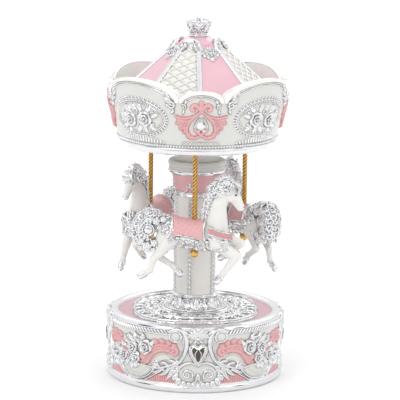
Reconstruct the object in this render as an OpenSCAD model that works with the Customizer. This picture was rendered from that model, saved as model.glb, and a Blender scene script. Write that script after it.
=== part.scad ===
// Wind-up carousel music box. Millimetres, +Z up, the front faces -Y.
// Three horses hang on poles below a crown-shaped canopy. The spring
// barrel in the base turns them through a shaft inside the column, and
// the same great wheel turns the pinned cylinder and the air governor.

/* [Base drum] */
// Outer radius of the drum's wall at its waist
drum_r = 46.4; // [40:0.1:60]
// Height of the drum to the top of its rim
drum_h = 36.8; // [34:0.1:50]
// How far the foot moulding stands out from the waist
foot_out = 2.3; // [0.5:0.1:5]
// Height of the foot moulding
foot_h = 5; // [2:0.1:8]
// Thickness of the rim moulding
rim_t = 5; // [3:0.1:8]
// Wall thickness of the castings
wall = 3; // [2:0.1:5]
// Depth of the deck below the rim
deck_drop = 1.8; // [0.5:0.1:4]
// Radius of the relief plate on the deck
relief_r = 36.3; // [28:0.1:42]
// Scallops around the relief plate
scallops = 16; // [8:1:32]

/* [Column] */
// Radius of the column's shaft
column_r = 11.1; // [9:0.1:16]
// Length of the plain shaft
column_h = 57; // [40:0.5:80]
// Beaded strips around the shaft
strips = 5; // [3:1:10]
// Height of the openwork skirt at the column's foot
skirt_h = 7.9; // [4:0.1:14]
// Height of the flared capital
capital_h = 11; // [6:0.1:18]
// Height of the wide ring over the capital
cap_h = 7.2; // [4:0.1:12]
// Height of the neck that stands up inside the canopy
crest_h = 5.2; // [2:0.1:9]
// Radius of the bore for the drive shaft
bore_r = 4.4; // [3.2:0.1:6]

/* [Canopy] */
// Greatest radius of the crown wall
crown_r = 49.5; // [42:0.1:60]
// Height of the crown wall to a valley between lobes
crown_h = 31; // [24:0.1:40]
// Rise of a large lobe over the valleys
big_rise = 10; // [4:0.1:16]
// Rise of a small lobe over the valleys
small_rise = 5; // [2:0.1:10]
// Half the angle that a small lobe covers
small_half = 14; // [9:0.5:18]
// Gap between the column's neck and the crown's lower edge
crown_gap = 3.6; // [2:0.1:8]
// Height of the roof
roof_h = 33; // [20:0.1:44]
// Height of the finial
finial_h = 11; // [7:0.1:16]

/* [Horses] */
// Horses around the carousel
horses = 3; // [2:1:3]
// Distance from the centre to each pole
ring_r = 30.4; // [27:0.1:34]
// Radius of a pole
pole_r = 1.25; // [0.9:0.05:2]
// Size of the horses
horse_size = 1; // [0.8:0.01:1.08]
// Turn of the horses against the lobes of the crown
horse_turn = -4; // [-12:0.5:12]
// Radius of the ball under a horse
ball_r = 2.45; // [1.8:0.05:3.5]

/* [Movement] */
// Teeth of the great wheel
wheel_teeth = 60; // [48:2:66]
// Module of the gears
gear_m = 0.5; // [0.4:0.05:0.55]
// Teeth of the cylinder's pinion, which runs on the face teeth
drum_pinion_teeth = 16; // [12:1:18]
// Teeth of the governor wheel's pinion
gov_pinion_teeth = 10; // [9:1:12]
// Teeth of the governor wheel
gov_wheel_teeth = 36; // [30:1:40]
// Teeth of the fan's pinion
fan_pinion_teeth = 9; // [9:1:12]
// Radius of the pinned cylinder
cylinder_r = 6; // [4:0.1:6.5]
// Teeth of the comb
notes = 18; // [12:1:22]
// Turning clearance between moving parts
clear = 0.3; // [0.2:0.05:0.5]
// Running clearance of a shaft in its bore
fit = 0.05; // [0.02:0.01:0.08]

/* [Hidden] */
$fn = 48;
pearl = [0.86, 0.85, 0.82];
silver = [0.82, 0.83, 0.84];
pale_pink = [0.97, 0.80, 0.86];
rose_pink = [0.91, 0.63, 0.64];
stone = [0.80, 0.79, 0.77];
gold = [0.80, 0.61, 0.30];
brass = [0.78, 0.64, 0.36];
steel = [0.62, 0.63, 0.64];
black = [0.12, 0.12, 0.13];

eps = 0.01;
faces = 8;
quarter = 90;
foot_r = drum_r + foot_out;
rim_r = drum_r + rim_t / 4;
rim_in = rim_r - rim_t;
deck_z = drum_h - deck_drop;
relief_h = 1.1;
rope_z = drum_h - rim_t - 2.8;
bead_z = drum_h - rim_t - 1.1;
cartouche_w = 13;
room_r = drum_r - wall;

// Levels in the base, from the floor up
plate_z = 12;
plate_t = 1.6;
bed_z = plate_z + plate_t;
bed_t = 1.4;
bed_r = room_r - 5;
ledge_h = 4.4;
bed_top = bed_z + bed_t;
wheel_z = bed_top + 2;
wheel_t = 2;
tooth_h = 2.25 * gear_m;
wheel_top = wheel_z + wheel_t;
wheel_r = wheel_teeth * gear_m / 2;
arbor_r = 2;
barrel_r = wheel_r - 4.4;
barrel_top = deck_z - wall - 2.8;

// Levels of the column and the canopy
skirt_z = deck_z + relief_h * 2.3;
shaft_z = skirt_z + skirt_h;
capital_z = shaft_z + column_h;
cap_z = capital_z + capital_h;
crest_z = cap_z + cap_h;
neck_z = crest_z + crest_h;
crown_z = neck_z + crown_gap;
floor_z = crown_z + 1.6;
floor_t = 2;
valley_z = crown_z + crown_h;
roof_z = valley_z - 4.4;
roof_r = crown_r - 5.4;
dome_r = 11;
dome_h = 3.4;
roof_top = roof_z + roof_h - dome_h;
finial_z = roof_z + roof_h;
half_face = 180 / faces;
face_run = (roof_r - dome_r) * cos(half_face);
face_l = sqrt(face_run * face_run + pow(roof_top - roof_z, 2));
face_tilt = atan(face_run / (roof_top - roof_z));
panel_part = 0.8;
drive_r = 2;

// Levels of the horses
horse_z = crown_z - 45 * horse_size;
belly = 8 * horse_size;
ball_z = horse_z - belly - ball_r + 0.1;
pole_top = floor_z + floor_t + 4;

// ---------- shared helpers ----------

// Outer line of the drum's wall, as [radius, height]
function drum_line(out = 0) = [
  [drum_r + 0.8 + out, foot_h],
  [drum_r + 0.5 + out, drum_h * 0.3],
  [drum_r + out, drum_h * 0.55],
  [drum_r + 0.2 + out, drum_h * 0.75],
  [drum_r + 0.7 + out, drum_h - rim_t]
];

// Outer line of the crown wall, as [radius, height]
function crown_line(out = 0) = [
  [crown_r * 0.876 + out, crown_z + 4],
  [crown_r * 0.892 + out, crown_z + 7],
  [crown_r * 0.922 + out, crown_z + 12.4],
  [crown_r * 0.948 + out, crown_z + 18],
  [crown_r * 0.978 + out, crown_z + 24.5],
  [crown_r * 0.996 + out, valley_z + 1],
  [crown_r + out, valley_z + big_rise + 2]
];

function flip(line) = [for (i = [len(line) - 1:-1:0]) line[i]];

// Half an ellipse on a straight foot, the outline of a lobe
function arch(half, low, foot, rise, steps = 24) = concat(
  [[half, low]],
  [for (i = [0:steps]) let (a = 180 * i / steps)
    [half * cos(a), foot + rise * sin(a)]],
  [[-half, low]]
);

// Mirrors a half outline about the vertical axis
function whole(half) = concat(
  half,
  [for (p = flip(half)) if (p[0] > eps) [-p[0], p[1]]]
);

// Stands a flat outline upright and pushes it out along -Y at an angle
module face_out(angle, from, to) {
  rotate([0, 0, angle])
    translate([0, -from, 0])
      rotate([90, 0, 0])
        linear_extrude(to - from)
          children();
}

// A skin of given thickness on a wall line
module skin(inner, outer) {
  rotate_extrude()
    polygon(concat(inner, flip(outer)));
}

module ring(ro, ri, z, h) {
  translate([0, 0, z])
    difference() {
      cylinder(r = ro, h = h);
      translate([0, 0, -1])
        cylinder(r = ri, h = h + 2);
    }
}

// Places children at every point of a circle
module around(count, start = 0) {
  for (i = [0:count - 1])
    rotate([0, 0, start + 360 * i / count])
      children();
}

// ---------- base ----------

// Rope and bead bands under the rim, broken where the cartouches stand
module rope_bands() {
  difference() {
    union() {
      rotate_extrude()
        polygon([
          [drum_r - 1, rope_z - 0.9], [drum_r + 0.6, rope_z - 0.9],
          [drum_r + 1.1, rope_z - 0.4], [drum_r + 1.1, rope_z + 0.4],
          [drum_r + 0.6, rope_z + 0.8], [drum_r - 1, rope_z + 0.8]
        ]);
      rotate_extrude()
        polygon([
          [drum_r - 1, bead_z - 0.7], [drum_r + 0.9, bead_z - 0.7],
          [drum_r + 1.5, bead_z], [drum_r + 0.9, bead_z + 0.7],
          [drum_r - 1, bead_z + 0.7]
        ]);
    }
    for (i = [0:3])
      face_out(i * quarter, drum_r * 0.8, foot_r + wall)
        translate([-cartouche_w, rope_z - 2])
          square([cartouche_w * 2, rim_t + 3]);
  }
}

module base_drum() {
  line = drum_line();
  color(pearl) {
    rope_bands();
    rotate_extrude()
      polygon(concat(
        [[room_r, 0], [foot_r - 1.4, 0], [foot_r, 1.2]],
        [[foot_r, foot_h * 0.6], [foot_r - 1.2, foot_h - 0.2]],
        line,
        [[rim_r - 0.5, drum_h - rim_t + 0.8], [rim_r, drum_h - rim_t * 0.55]],
        [[rim_r - 0.5, drum_h - 0.9], [rim_r - 1.8, drum_h]],
        [[rim_in + 1, drum_h - 0.3], [rim_in, deck_z]],
        [[bore_r, deck_z], [bore_r, deck_z - wall]],
        [[room_r, deck_z - wall], [room_r, bed_z + ledge_h]],
        [[bed_r + 0.4, bed_z + ledge_h], [bed_r + 0.4, bed_z]],
        [[room_r, bed_z]]
      ));
  }
}

// Radius, height above the deck and width of each raised ring on the plate
plate_rings = [
  [relief_r * 0.953, 2.1, 1.1], [relief_r * 0.788, 2.5, 1.1],
  [relief_r * 0.529, 3, 0.9], [relief_r * 0.479, 3.3, 1],
  [relief_r * 0.43, 3.3, 1]
];

// Scalloped plate with stepped rings and scrolls that rises to the column
module relief_plate() {
  $fn = 30;
  scroll_r = relief_r * 0.64;
  leaf_r = relief_r * 0.81;
  color(silver)
    translate([0, 0, deck_z])
      difference() {
        union() {
          cylinder(r = relief_r - 2, h = relief_h, $fn = 96);
          around(scallops)
            translate([relief_r - 4.4, 0, 0])
              cylinder(r = 4.4, h = relief_h);
          cylinder(r1 = relief_r * 0.79, r2 = relief_r * 0.76, h = relief_h * 1.8);
          cylinder(r1 = relief_r * 0.58, r2 = relief_r * 0.56, h = relief_h * 2.1);
          cylinder(r = relief_r * 0.46, h = relief_h * 2.3);
          for (line = plate_rings)
            ring(line[0] + line[2] / 2, line[0] - line[2] / 2, 0, line[1]);
          around(scallops, 180 / scallops) {
            translate([scroll_r, 0, relief_h])
              ring(2.6, 1.5, 0, relief_h * 1.7);
            for (side = [-1, 0, 1])
              rotate([0, 0, side * 7.5])
                translate([leaf_r, 0, 0])
                  linear_extrude(relief_h * 1.9)
                    polygon([[0, 0], [2, -1.1], [4.6, 0], [2, 1.1]]);
          }
          around(scallops)
            translate([relief_r * 0.67, 0, relief_h])
              cylinder(r = 1.9, h = relief_h * 1.8);
        }
        translate([0, 0, -1])
          cylinder(r = bore_r, h = relief_h * 5);
      }
}

module bottom_plate() {
  color(black)
    ring(room_r - 0.3, arbor_r + clear, plate_z, plate_t);
}

// Four countersunk screws that hold the plate up against the ledge
module bottom_screws() {
  color(steel)
    around(4, 45)
      translate([bed_r + 2.4, 0, plate_z - 1])
        difference() {
          cylinder(r = 2, h = 1);
          translate([-2.5, -0.3, -eps])
            cube([5, 0.6, 0.5]);
        }
}

// Half outline of a cartouche: a shell crest over a strapwork shield
function cartouche_half() = [
  [0, drum_h + 1.6], [2.6, drum_h + 1.2], [5.2, drum_h - 0.4],
  [7, drum_h - 2.6], [9.6, drum_h - 3.4], [12, drum_h - 5],
  [12.6, drum_h - 7.6], [10.8, drum_h - 9.4], [7.6, drum_h - 9],
  [5.4, drum_h - 10.6], [5, drum_h * 0.62], [6.6, drum_h * 0.5],
  [9.8, drum_h * 0.36], [10.4, drum_h * 0.24], [9, foot_h + 1.6],
  [5.4, foot_h + 0.2], [0, foot_h + 0.2]
];

// A heart, point down, with its widest line at the given height
function heart_half(r, z) = concat(
  [[0, z + r * 0.55]],
  [for (a = [120:-20:-20]) [r * 0.5 + r * 0.5 * cos(a), z + r * 0.42 + r * 0.5 * sin(a)]],
  [[r * 0.55, z - r * 0.6], [0, z - r * 1.25]]
);

module cartouche(angle) {
  color(silver) {
    intersection() {
      skin(drum_line(), drum_line(1.5));
      face_out(angle, drum_r - wall, foot_r + wall)
        polygon(whole(cartouche_half()));
    }
    intersection() {
      skin(drum_line(1.5), drum_line(2.8));
      face_out(angle, drum_r - wall, foot_r + wall)
        polygon(whole(heart_half(4.6, drum_h * 0.46)));
    }
  }
}

// A pointed leaf drawn flat, from its stalk to its tip
module flat_leaf(stalk, tip, w) {
  way = tip - stalk;
  side = [-way[1], way[0]] / norm(way) * w;
  polygon([
    stalk, stalk + way * 0.3 + side * 0.8, stalk + way * 0.5 + side,
    tip, stalk + way * 0.5 - side, stalk + way * 0.3 - side * 0.8
  ]);
}

// Leaves of a spray, each as stalk x and height, tip x and height, half width
spray_leaves = [
  [1, 22, -2.4, 31.4, 1.4], [3, 24, 5.4, 31.8, 1.3],
  [-3, 24, -7.4, 30.4, 1.3], [-7, 22, -12.6, 27.4, 1.4],
  [7, 24, 11.6, 29, 1.2], [-8, 19, -14.6, 21.4, 1.3],
  [8, 21, 13, 22.6, 1.2], [7, 18, 12.6, 16.4, 1.3],
  [-11, 15, -15.4, 11.6, 1.2], [-8, 13.6, -9.8, 8.4, 1.2],
  [-3, 14, -5.6, 8.2, 1.2], [2, 13.6, 1, 8, 1.1],
  [4, 15, 7.2, 9.6, 1.2]
];

// Roses of a spray, each as x, height, radius and how far it stands out
spray_roses = [
  [4.6, 24.4, 4.1, 3], [-4.8, 21.2, 3.8, 3], [1.2, 16.4, 3.1, 2.6],
  [-9.8, 16.2, 2.5, 2.2], [8.4, 18.6, 2.2, 2], [-1.2, 25.6, 2, 1.8]
];

// Half outline of the scrolling acanthus that frames a spray
acanthus = [
  [8.2, 14.6], [9.6, 19.2], [12.6, 23], [17, 25], [21.4, 25.2],
  [23.2, 23.6], [22.6, 21], [24.6, 20.6], [25.4, 24.2], [22.2, 26.4],
  [19.6, 27.6], [15.4, 27.8], [10.4, 26], [7.2, 21.6], [6.2, 15.8]
];

// A spray of roses on leaves between two cartouches, turned by its hand
module rose_spray(angle, hand) {
  lift = drum_h / 36.8;
  at = function (x, z) [hand * x, z * lift];
  color(silver) {
    intersection() {
      skin(drum_line(), drum_line(1.5));
      face_out(angle, drum_r - wall, foot_r + wall)
        intersection() {
          union() {
            for (p = spray_leaves)
              flat_leaf(at(p[0], p[1]), at(p[2], p[3]), p[4]);
            for (side = [-1, 1]) {
              flat_leaf(at(side * 24.6, 18.2), at(side * 6.5, 14.2), 1.3);
              flat_leaf(at(side * 22.4, 17), at(side * 19, 7.4), 1.4);
              flat_leaf(at(side * 19.6, 15.8), at(side * 13.6, 9.8), 1.3);
            }
            polygon([at(-8, 20), at(0, 26), at(7, 22), at(6, 13), at(-6, 11)]);
          }
          translate([-drum_r, 0])
            square([drum_r * 2, rope_z - 1.1]);
        }
    }
    for (p = spray_roses) {
      intersection() {
        skin(drum_line(), drum_line(p[3] - 0.5));
        face_out(angle, drum_r - wall, foot_r + wall)
          translate(at(p[0], p[1]))
            circle(r = p[2], $fn = 20);
      }
      intersection() {
        skin(drum_line(), drum_line(p[3]));
        face_out(angle, drum_r - wall, foot_r + wall)
          translate(at(p[0], p[1]))
            circle(r = p[2] * 0.5, $fn = 16);
      }
    }
  }
  color(rose_pink)
    intersection() {
      skin(drum_line(), drum_line(1.2));
      face_out(angle, drum_r - wall, foot_r + wall)
        for (side = [-1, 1])
          polygon([for (p = acanthus) [side * p[0], p[1] * lift]]);
    }
}

// ---------- column ----------

module column_skirt() {
  color(silver)
    rotate_extrude()
      polygon([
        [bore_r, skirt_z], [column_r + 3.3, skirt_z],
        [column_r + 3, skirt_z + 1], [column_r + 1.8, skirt_z + 3.4],
        [column_r + 0.9, shaft_z - 1.6], [column_r + 0.8, shaft_z - 1.2],
        [column_r + 0.8, shaft_z], [bore_r, shaft_z]
      ]);
}

module column_shaft() {
  color(stone)
    ring(column_r, bore_r, shaft_z, column_h);
  color(silver)
    around(strips, 360 / strips - 109)
      translate([column_r - 0.4, -1.3, shaft_z])
        cube([0.9, 2.6, column_h - 1.2]);
  color(silver)
    ring(column_r + 0.7, column_r - 1, capital_z - 1.2, 1.2);
}

module column_capital() {
  color(rose_pink)
    rotate_extrude()
      polygon([
        [bore_r, capital_z], [column_r + 0.3, capital_z],
        [column_r + 0.6, capital_z + 1], [column_r + 2.1, cap_z - 3.4],
        [column_r + 3, cap_z], [bore_r, cap_z]
      ]);
}

module column_cap() {
  color(stone)
    rotate_extrude()
      polygon([
        [bore_r, cap_z], [column_r + 3.6, cap_z],
        [column_r + 3.9, cap_z + 0.7], [column_r + 3.7, cap_z + 1.6],
        [column_r + 4.2, cap_z + 2.1], [column_r + 4.4, cap_z + 3.6],
        [column_r + 4.2, cap_z + 4.3], [column_r + 4.8, cap_z + 4.9],
        [column_r + 4.9, crest_z - 1], [column_r + 4.3, crest_z],
        [column_r + 1.2, crest_z], [column_r + 1.2, neck_z - 0.5],
        [column_r + 0.7, neck_z], [bore_r, neck_z]
      ]);
}

// Flanged bush in the top of the column that steadies the shaft
module shaft_bush() {
  color(brass) {
    ring(bore_r, drive_r + fit, neck_z - 4, 4);
    ring(bore_r + 1.6, drive_r + fit, neck_z, 1);
  }
}

// ---------- canopy ----------

// Prisms that hold the wall below its lobed upper edge
module lobes(inset = 0) {
  big = crown_r * sin(quarter / 2 - small_half) - inset;
  small = crown_r * sin(small_half) - inset;
  for (i = [0:3]) {
    face_out(i * quarter, crown_r * 0.6, crown_r + 6)
      polygon(arch(small, valley_z - 3, valley_z - inset, small_rise));
    face_out((i + 0.5) * quarter, crown_r * 0.6, crown_r + 6)
      polygon(arch(big, valley_z - 3, valley_z - inset, big_rise));
  }
}

// The flared wall with its lobed edge, edge moulding and lower band
module crown_wall() {
  line = crown_line();
  lip = crown_r * 0.836;
  color(pearl)
    intersection() {
      skin(crown_line(-wall * 0.8), line);
      union() {
        translate([0, 0, crown_z])
          cylinder(r = crown_r + 4, h = crown_h - eps);
        lobes();
      }
    }
  color(silver)
    rotate_extrude()
      polygon([
        [lip - 2.6, crown_z], [lip, crown_z], [lip + 1.2, crown_z + 0.9],
        [lip + 1.9, crown_z + 3.2], [line[0][0] + 0.4, crown_z + 3.6],
        line[0], [line[0][0] - wall * 0.8, crown_z + 4],
        [lip - 0.4, floor_z + floor_t], [lip - 0.4, floor_z],
        [lip - 2.6, floor_z]
      ]);
  color(silver)
    difference() {
      intersection() {
        skin(crown_line(-eps), crown_line(0.9));
        lobes();
      }
      lobes(1.7);
      translate([0, 0, valley_z - 4])
        cylinder(r = crown_r + 4, h = 2.6);
    }
  color(pearl)
    rotate_extrude()
      polygon([
        [roof_r - 6, roof_z - 2], [roof_r - 6, roof_z],
        [crown_r * 0.978 - 1, roof_z], [crown_r * 0.96 - 1, roof_z - 5]
      ]);
}

// Oval frame with a rose, on a large lobe
module crown_cameo(angle) {
  mid = crown_z + 20;
  color(silver) {
    intersection() {
      skin(crown_line(), crown_line(1));
      face_out(angle, crown_r * 0.8, crown_r + 6)
        translate([0, mid])
          difference() {
            scale([1.85, 1])
              circle(r = 9.4);
            scale([1.85, 1])
              circle(r = 8.2);
          }
    }
    intersection() {
      skin(crown_line(), crown_line(1.5));
      face_out(angle, crown_r * 0.8, crown_r + 6)
        translate([0, mid])
          union() {
            circle(r = 4);
            for (a = [-75, -45, 45, 75])
              rotate(a)
                polygon([[-1.6, 0], [-2.2, 5], [0, 9.2 - abs(a) / 30], [2.2, 5], [1.6, 0]]);
            for (a = [105, 255])
              rotate(a)
                polygon([[-1.4, 0], [-2, 5], [0, 8.4], [2, 5], [1.4, 0]]);
          }
    }
    intersection() {
      skin(crown_line(1.5), crown_line(2.6));
      face_out(angle, crown_r * 0.8, crown_r + 6)
        translate([0, mid])
          difference() {
            circle(r = 3.2);
            circle(r = 1.5);
          }
    }
  }
}

// Half outline of the leaf scroll on a small lobe
function scroll_half(z) = [
  [0, z + 9.6], [1.2, z + 9], [1.4, z + 7.8], [3, z + 8.2],
  [4.8, z + 7.4], [4.6, z + 5.4], [3.2, z + 4.6], [6, z + 3.2],
  [9.8, z + 2.6], [13.2, z + 2.8], [13.2, z - 0.6], [11.4, z - 1.6],
  [9.6, z - 1.8], [9, z - 4.2], [8, z - 5.6], [7.6, z - 8.2],
  [4.6, z - 8.8], [2, z - 8], [0, z - 6.4]
];

// Pink leaf scroll around a silver drop, on a small lobe
module crown_scroll(angle) {
  mid = crown_z + 17.4;
  drop = [[0, 4.6], [1.6, 1.6], [2.7, -1.6], [2, -4], [0, -5]];
  color(rose_pink)
    difference() {
      intersection() {
        skin(crown_line(), crown_line(1));
        face_out(angle, crown_r * 0.8, crown_r + 6)
          polygon(whole(scroll_half(mid)));
      }
      face_out(angle, crown_r * 0.7, crown_r + 8)
        translate([0, mid - 1])
          polygon(whole([for (p = drop) p * 1.35]));
    }
  color(silver)
    intersection() {
      skin(crown_line(), crown_line(1.2));
      face_out(angle, crown_r * 0.8, crown_r + 6)
        translate([0, mid - 1.2])
          polygon(whole(drop));
    }
}

// Eight-sided tent roof with ribs, a dome and an eave on the wall's shelf
module roof() {
  slope = (roof_r - dome_r) / (roof_top - roof_z);
  color(pale_pink)
    difference() {
      union() {
        translate([0, 0, roof_z])
          cylinder(r1 = roof_r, r2 = dome_r, h = roof_top - roof_z, $fn = faces);
        translate([0, 0, roof_top - 0.4])
          cylinder(r1 = dome_r, r2 = dome_r * 0.86, h = dome_h * 0.5);
        translate([0, 0, roof_top + dome_h * 0.5 - 0.5])
          cylinder(r1 = dome_r * 0.86, r2 = dome_r * 0.45, h = dome_h * 0.5 + 0.5);
      }
      translate([0, 0, roof_z - eps])
        cylinder(r1 = roof_r - wall, r2 = dome_r - wall, h = roof_top - roof_z - 1, $fn = faces);
    }
  color(silver)
    around(faces)
      translate([roof_r - 0.9, 0, roof_z + 0.8])
        rotate([0, -atan(slope), 0])
          cylinder(r = 0.9, h = (roof_top - roof_z) / cos(atan(slope)) - 1);
}

// Outline of a panel with an arched head, lying on one face of the roof
function panel_line(trim, steps = 12) =
  let (s = sin(half_face), foot = roof_r * s - trim,
    neck = (dome_r + (roof_r - dome_r) * (1 - panel_part)) * s - trim)
  concat(
    [[-foot, trim], [foot, trim]],
    [for (i = [0:steps]) let (a = 180 * i / steps)
      [neck * cos(a), face_l * panel_part + neck * sin(a)]]
  );

// Lays children, drawn flat, on the roof's face at an angle
module on_roof(angle, t) {
  rotate([0, 0, angle - quarter])
    translate([roof_r * cos(half_face), 0, roof_z])
      rotate([0, -face_tilt, 0])
        rotate([quarter, 0, quarter])
          linear_extrude(t)
            children();
}

// White panel with a raised diagonal lattice and an arched silver border
module roof_lattice(angle) {
  step = roof_h * 0.115;
  color(pearl) {
    on_roof(angle, 0.6)
      polygon(panel_line(1.8));
    on_roof(angle, 1.1)
      intersection() {
        polygon(panel_line(2.3));
        for (side = [-1, 1])
          for (i = [-3:15])
            translate([0, i * step])
              rotate(side * 33)
                translate([-roof_r, -0.3])
                  square([roof_r * 2, 0.6]);
      }
  }
  color(silver)
    on_roof(angle, 1.3)
      difference() {
        polygon(panel_line(1.5));
        polygon(panel_line(2.4));
      }
}

module canopy_floor() {
  color(silver)
    difference() {
      translate([0, 0, floor_z])
        cylinder(r = crown_r * 0.836 - 0.4, h = floor_t);
      translate([0, 0, floor_z - 1])
        cylinder(r = drive_r * 2, h = floor_t + 2);
      around(horses, horse_turn - quarter)
        translate([ring_r, 0, floor_z - 1])
          cylinder(r = pole_r, h = floor_t + 2);
    }
}

// Small crown on a moulded foot
module finial() {
  r = dome_r * 0.45;
  color(silver) {
    rotate_extrude()
      polygon([
        [0, finial_z], [r + 0.5, finial_z], [r + 0.7, finial_z + 0.9],
        [r - 0.6, finial_z + 1.5], [r - 0.2, finial_z + 2.3],
        [r + 0.9, finial_z + finial_h * 0.5],
        [r + 1.1, finial_z + finial_h * 0.72],
        [r + 0.1, finial_z + finial_h * 0.76],
        [0, finial_z + finial_h * 0.9]
      ]);
    around(faces)
      translate([r + 0.9, 0, finial_z + finial_h * 0.78])
        sphere(r = 1.1);
    translate([0, 0, finial_z + finial_h - 1.5])
      sphere(r = 1.5);
  }
}

// Hub that the canopy floor sits on, pressed on the shaft
module drive_hub() {
  low = neck_z + 1 + clear;
  color(brass) {
    ring(drive_r * 2 + 3.4, drive_r, low, floor_z - low);
    ring(drive_r * 2, drive_r, floor_z, floor_t + 3);
    ring(drive_r * 2 + 2, drive_r * 2, floor_z + floor_t, 1.4);
  }
}

module drive_shaft() {
  color(steel)
    translate([0, 0, barrel_top])
      cylinder(r = drive_r, h = floor_z + floor_t + 4 - barrel_top);
}

// ---------- horses ----------

// One tapered limb between two joints
module limb(a, b, ra, rb) {
  hull() {
    translate(a)
      sphere(r = ra, $fn = 9);
    translate(b)
      sphere(r = rb, $fn = 9);
  }
}

// A leg from its root through the knee and the fetlock to the hoof
module leg(side, root, knee, fetlock, hoof, r) {
  at = function (p) [p[0], side, p[1]];
  limb(at(root), at(knee), r, r * 0.56);
  limb(at(knee), at(fetlock), r * 0.54, r * 0.4);
  limb(at(fetlock), at(hoof), r * 0.42, r * 0.58);
}

// The galloping horse, with the belly's centre at its origin. Reach is 1
// for a foreleg stretched to the ground and 0 for a folded one.
module horse_form(reach) {
  side = 3.5;
  limb([11.6, 0, -0.8], [0, 0, -0.5], 7.6, 7.3);
  limb([0, 0, -0.5], [-10, 0, 1.4], 7.3, 7.7);
  limb([11, 0, 3], [11.8, 0, 14], 6.6, 4.8);
  limb([11.8, 0, 14], [15.6, 0, 23.4], 4.8, 3.7);
  limb([15.8, 0, 23.6], [19.4, 0, 21.4], 3.8, 3.4);
  limb([19.4, 0, 21.4], [25.4, 0, 17.2], 3.3, 1.9);
  for (s = [-1, 1])
    limb([15.4, s * 1.9, 26.6], [15.8, s * 2.4, 29.8], 0.9, 0.35);
  // mane
  limb([13.4, 0, 28], [8.4, -0.6, 22.4], 2.8, 3.2);
  limb([8.4, -0.6, 22.4], [6, -0.8, 13.4], 3.2, 2.6);
  limb([6, -0.8, 13.4], [4.8, -0.6, 8.6], 2.6, 1.6);
  limb([15, -1, 27.6], [19.4, -0.6, 25.6], 2.2, 1.3);
  // tail with a curl and a gem
  limb([-16, 0, 4.4], [-22.6, 0, 8.6], 2.4, 3.2);
  limb([-22.6, 0, 8.6], [-28, 0, 3], 3.2, 3.6);
  limb([-28, 0, 3], [-27.4, 0, -4.8], 3.6, 3.8);
  limb([-27.4, 0, -4.8], [-22.4, 0, -7.4], 3.8, 3.2);
  limb([-24.4, -1.5, 1.8], [-24.4, 1.5, 1.8], 3.1, 3.1);
  // saddle, blanket and the floral trim under it
  intersection() {
    limb([6.2, 0, 0.2], [-7.6, 0, 0.8], 8, 8);
    translate([-11.5, -9, -1.6])
      cube([17, 18, 11]);
  }
  for (s = [-1, 1])
    limb([9.6, s * 3.4, -4.2], [-12, s * 3.4, -3.4], 3.3, 3.3);
  limb([13.4, 0, -3.4], [12.4, 0, 1.4], 7, 6.8);
  // hind legs
  leg(-side, [-13, -2.4], [-22.4, -14], [-24.2, -20.6], [-29.6, -23], 4.6);
  leg(side, [-12.6, -2.4], [-21.2, -13.4], [-11.8, -19.4], [-8.4, -23], 4.6);
  // forelegs
  if (reach > 0) {
    leg(-side, [13, -4], [19.4, -13], [22.6, -21.4], [24, -24.8], 3.6);
    leg(side, [13, -4], [20, -12.4], [15, -17.6], [13, -19.4], 3.4);
  } else {
    leg(-side, [13, -4.6], [24, -9.6], [16.4, -19.8], [13.2, -24.4], 3.8);
    leg(side, [13, -3.4], [25.2, -5], [18.4, -11.4], [15.2, -13], 3.6);
  }
}

module horse(index) {
  turn = horse_turn + 360 * index / horses;
  color(pearl)
    rotate([0, 0, turn])
      translate([0, -ring_r, horse_z])
        difference() {
          scale(horse_size)
            horse_form(index == 2 ? 1 : 0);
          translate([0, 0, -belly * 2])
            cylinder(r = (pole_r + fit) / cos(7.5), h = belly * 4, $fn = 24);
          translate([-ball_r, -ball_r, ball_z - horse_z - ball_r])
            cube([ball_r * 2, ball_r * 2, ball_r * 2 + eps]);
        }
}

module at_pole(index) {
  rotate([0, 0, horse_turn + 360 * index / horses])
    translate([0, -ring_r, 0])
      children();
}

module pole(index) {
  color(gold)
    at_pole(index)
      translate([0, 0, ball_z])
        cylinder(r = pole_r, h = pole_top - ball_z);
}

// Ball nut under the belly, with a blind hole for the pole's end
module pole_ball(index) {
  color(gold)
    at_pole(index)
      translate([0, 0, ball_z])
        difference() {
          intersection() {
            sphere(r = ball_r);
            translate([-ball_r, -ball_r, -ball_r])
              cube([ball_r * 2, ball_r * 2, ball_r * 2 - 0.2]);
          }
          cylinder(r = pole_r, h = ball_r + 1);
        }
}

module pole_nuts() {
  color(brass)
    for (i = [0:horses - 1])
      at_pole(i)
        translate([0, 0, floor_z + floor_t])
        difference() {
          cylinder(r = pole_r * 2.2, h = 2.2, $fn = 6);
          translate([0, 0, -1])
            cylinder(r = pole_r, h = 5);
        }
}

// ---------- movement ----------

// Outline of a spur gear with straight-flanked, backlashed teeth
function gear_line(teeth, m, slack = 0.12) =
  let (p = 360 / teeth, rp = teeth * m / 2,
    ro = rp + 0.85 * m, ri = rp - 1.15 * m,
    wide = p * (0.36 - slack), tip = p * (0.17 - slack / 4))
  [for (i = [0:teeth - 1]) for (q = [[-wide, ri], [-tip, ro], [tip, ro], [wide, ri]])
    [q[1] * cos(i * p + q[0]), q[1] * sin(i * p + q[0])]];

module gear(teeth, m, t, turn = 0) {
  rotate([0, 0, turn])
    linear_extrude(t)
      polygon(gear_line(teeth, m));
}

gov_d = (wheel_teeth + gov_pinion_teeth) * gear_m / 2;
fan_d = (gov_wheel_teeth + fan_pinion_teeth) * gear_m / 2;
gov_turn = 180 + 35;
fan_turn = gov_turn - 62;
gov_at = [gov_d * cos(gov_turn), gov_d * sin(gov_turn)];
fan_at = [gov_at[0] + fan_d * cos(fan_turn), gov_at[1] + fan_d * sin(fan_turn)];
gov_z = bed_top + 0.5;
gov_t = 1.1;
post_r = 0.7;

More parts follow.
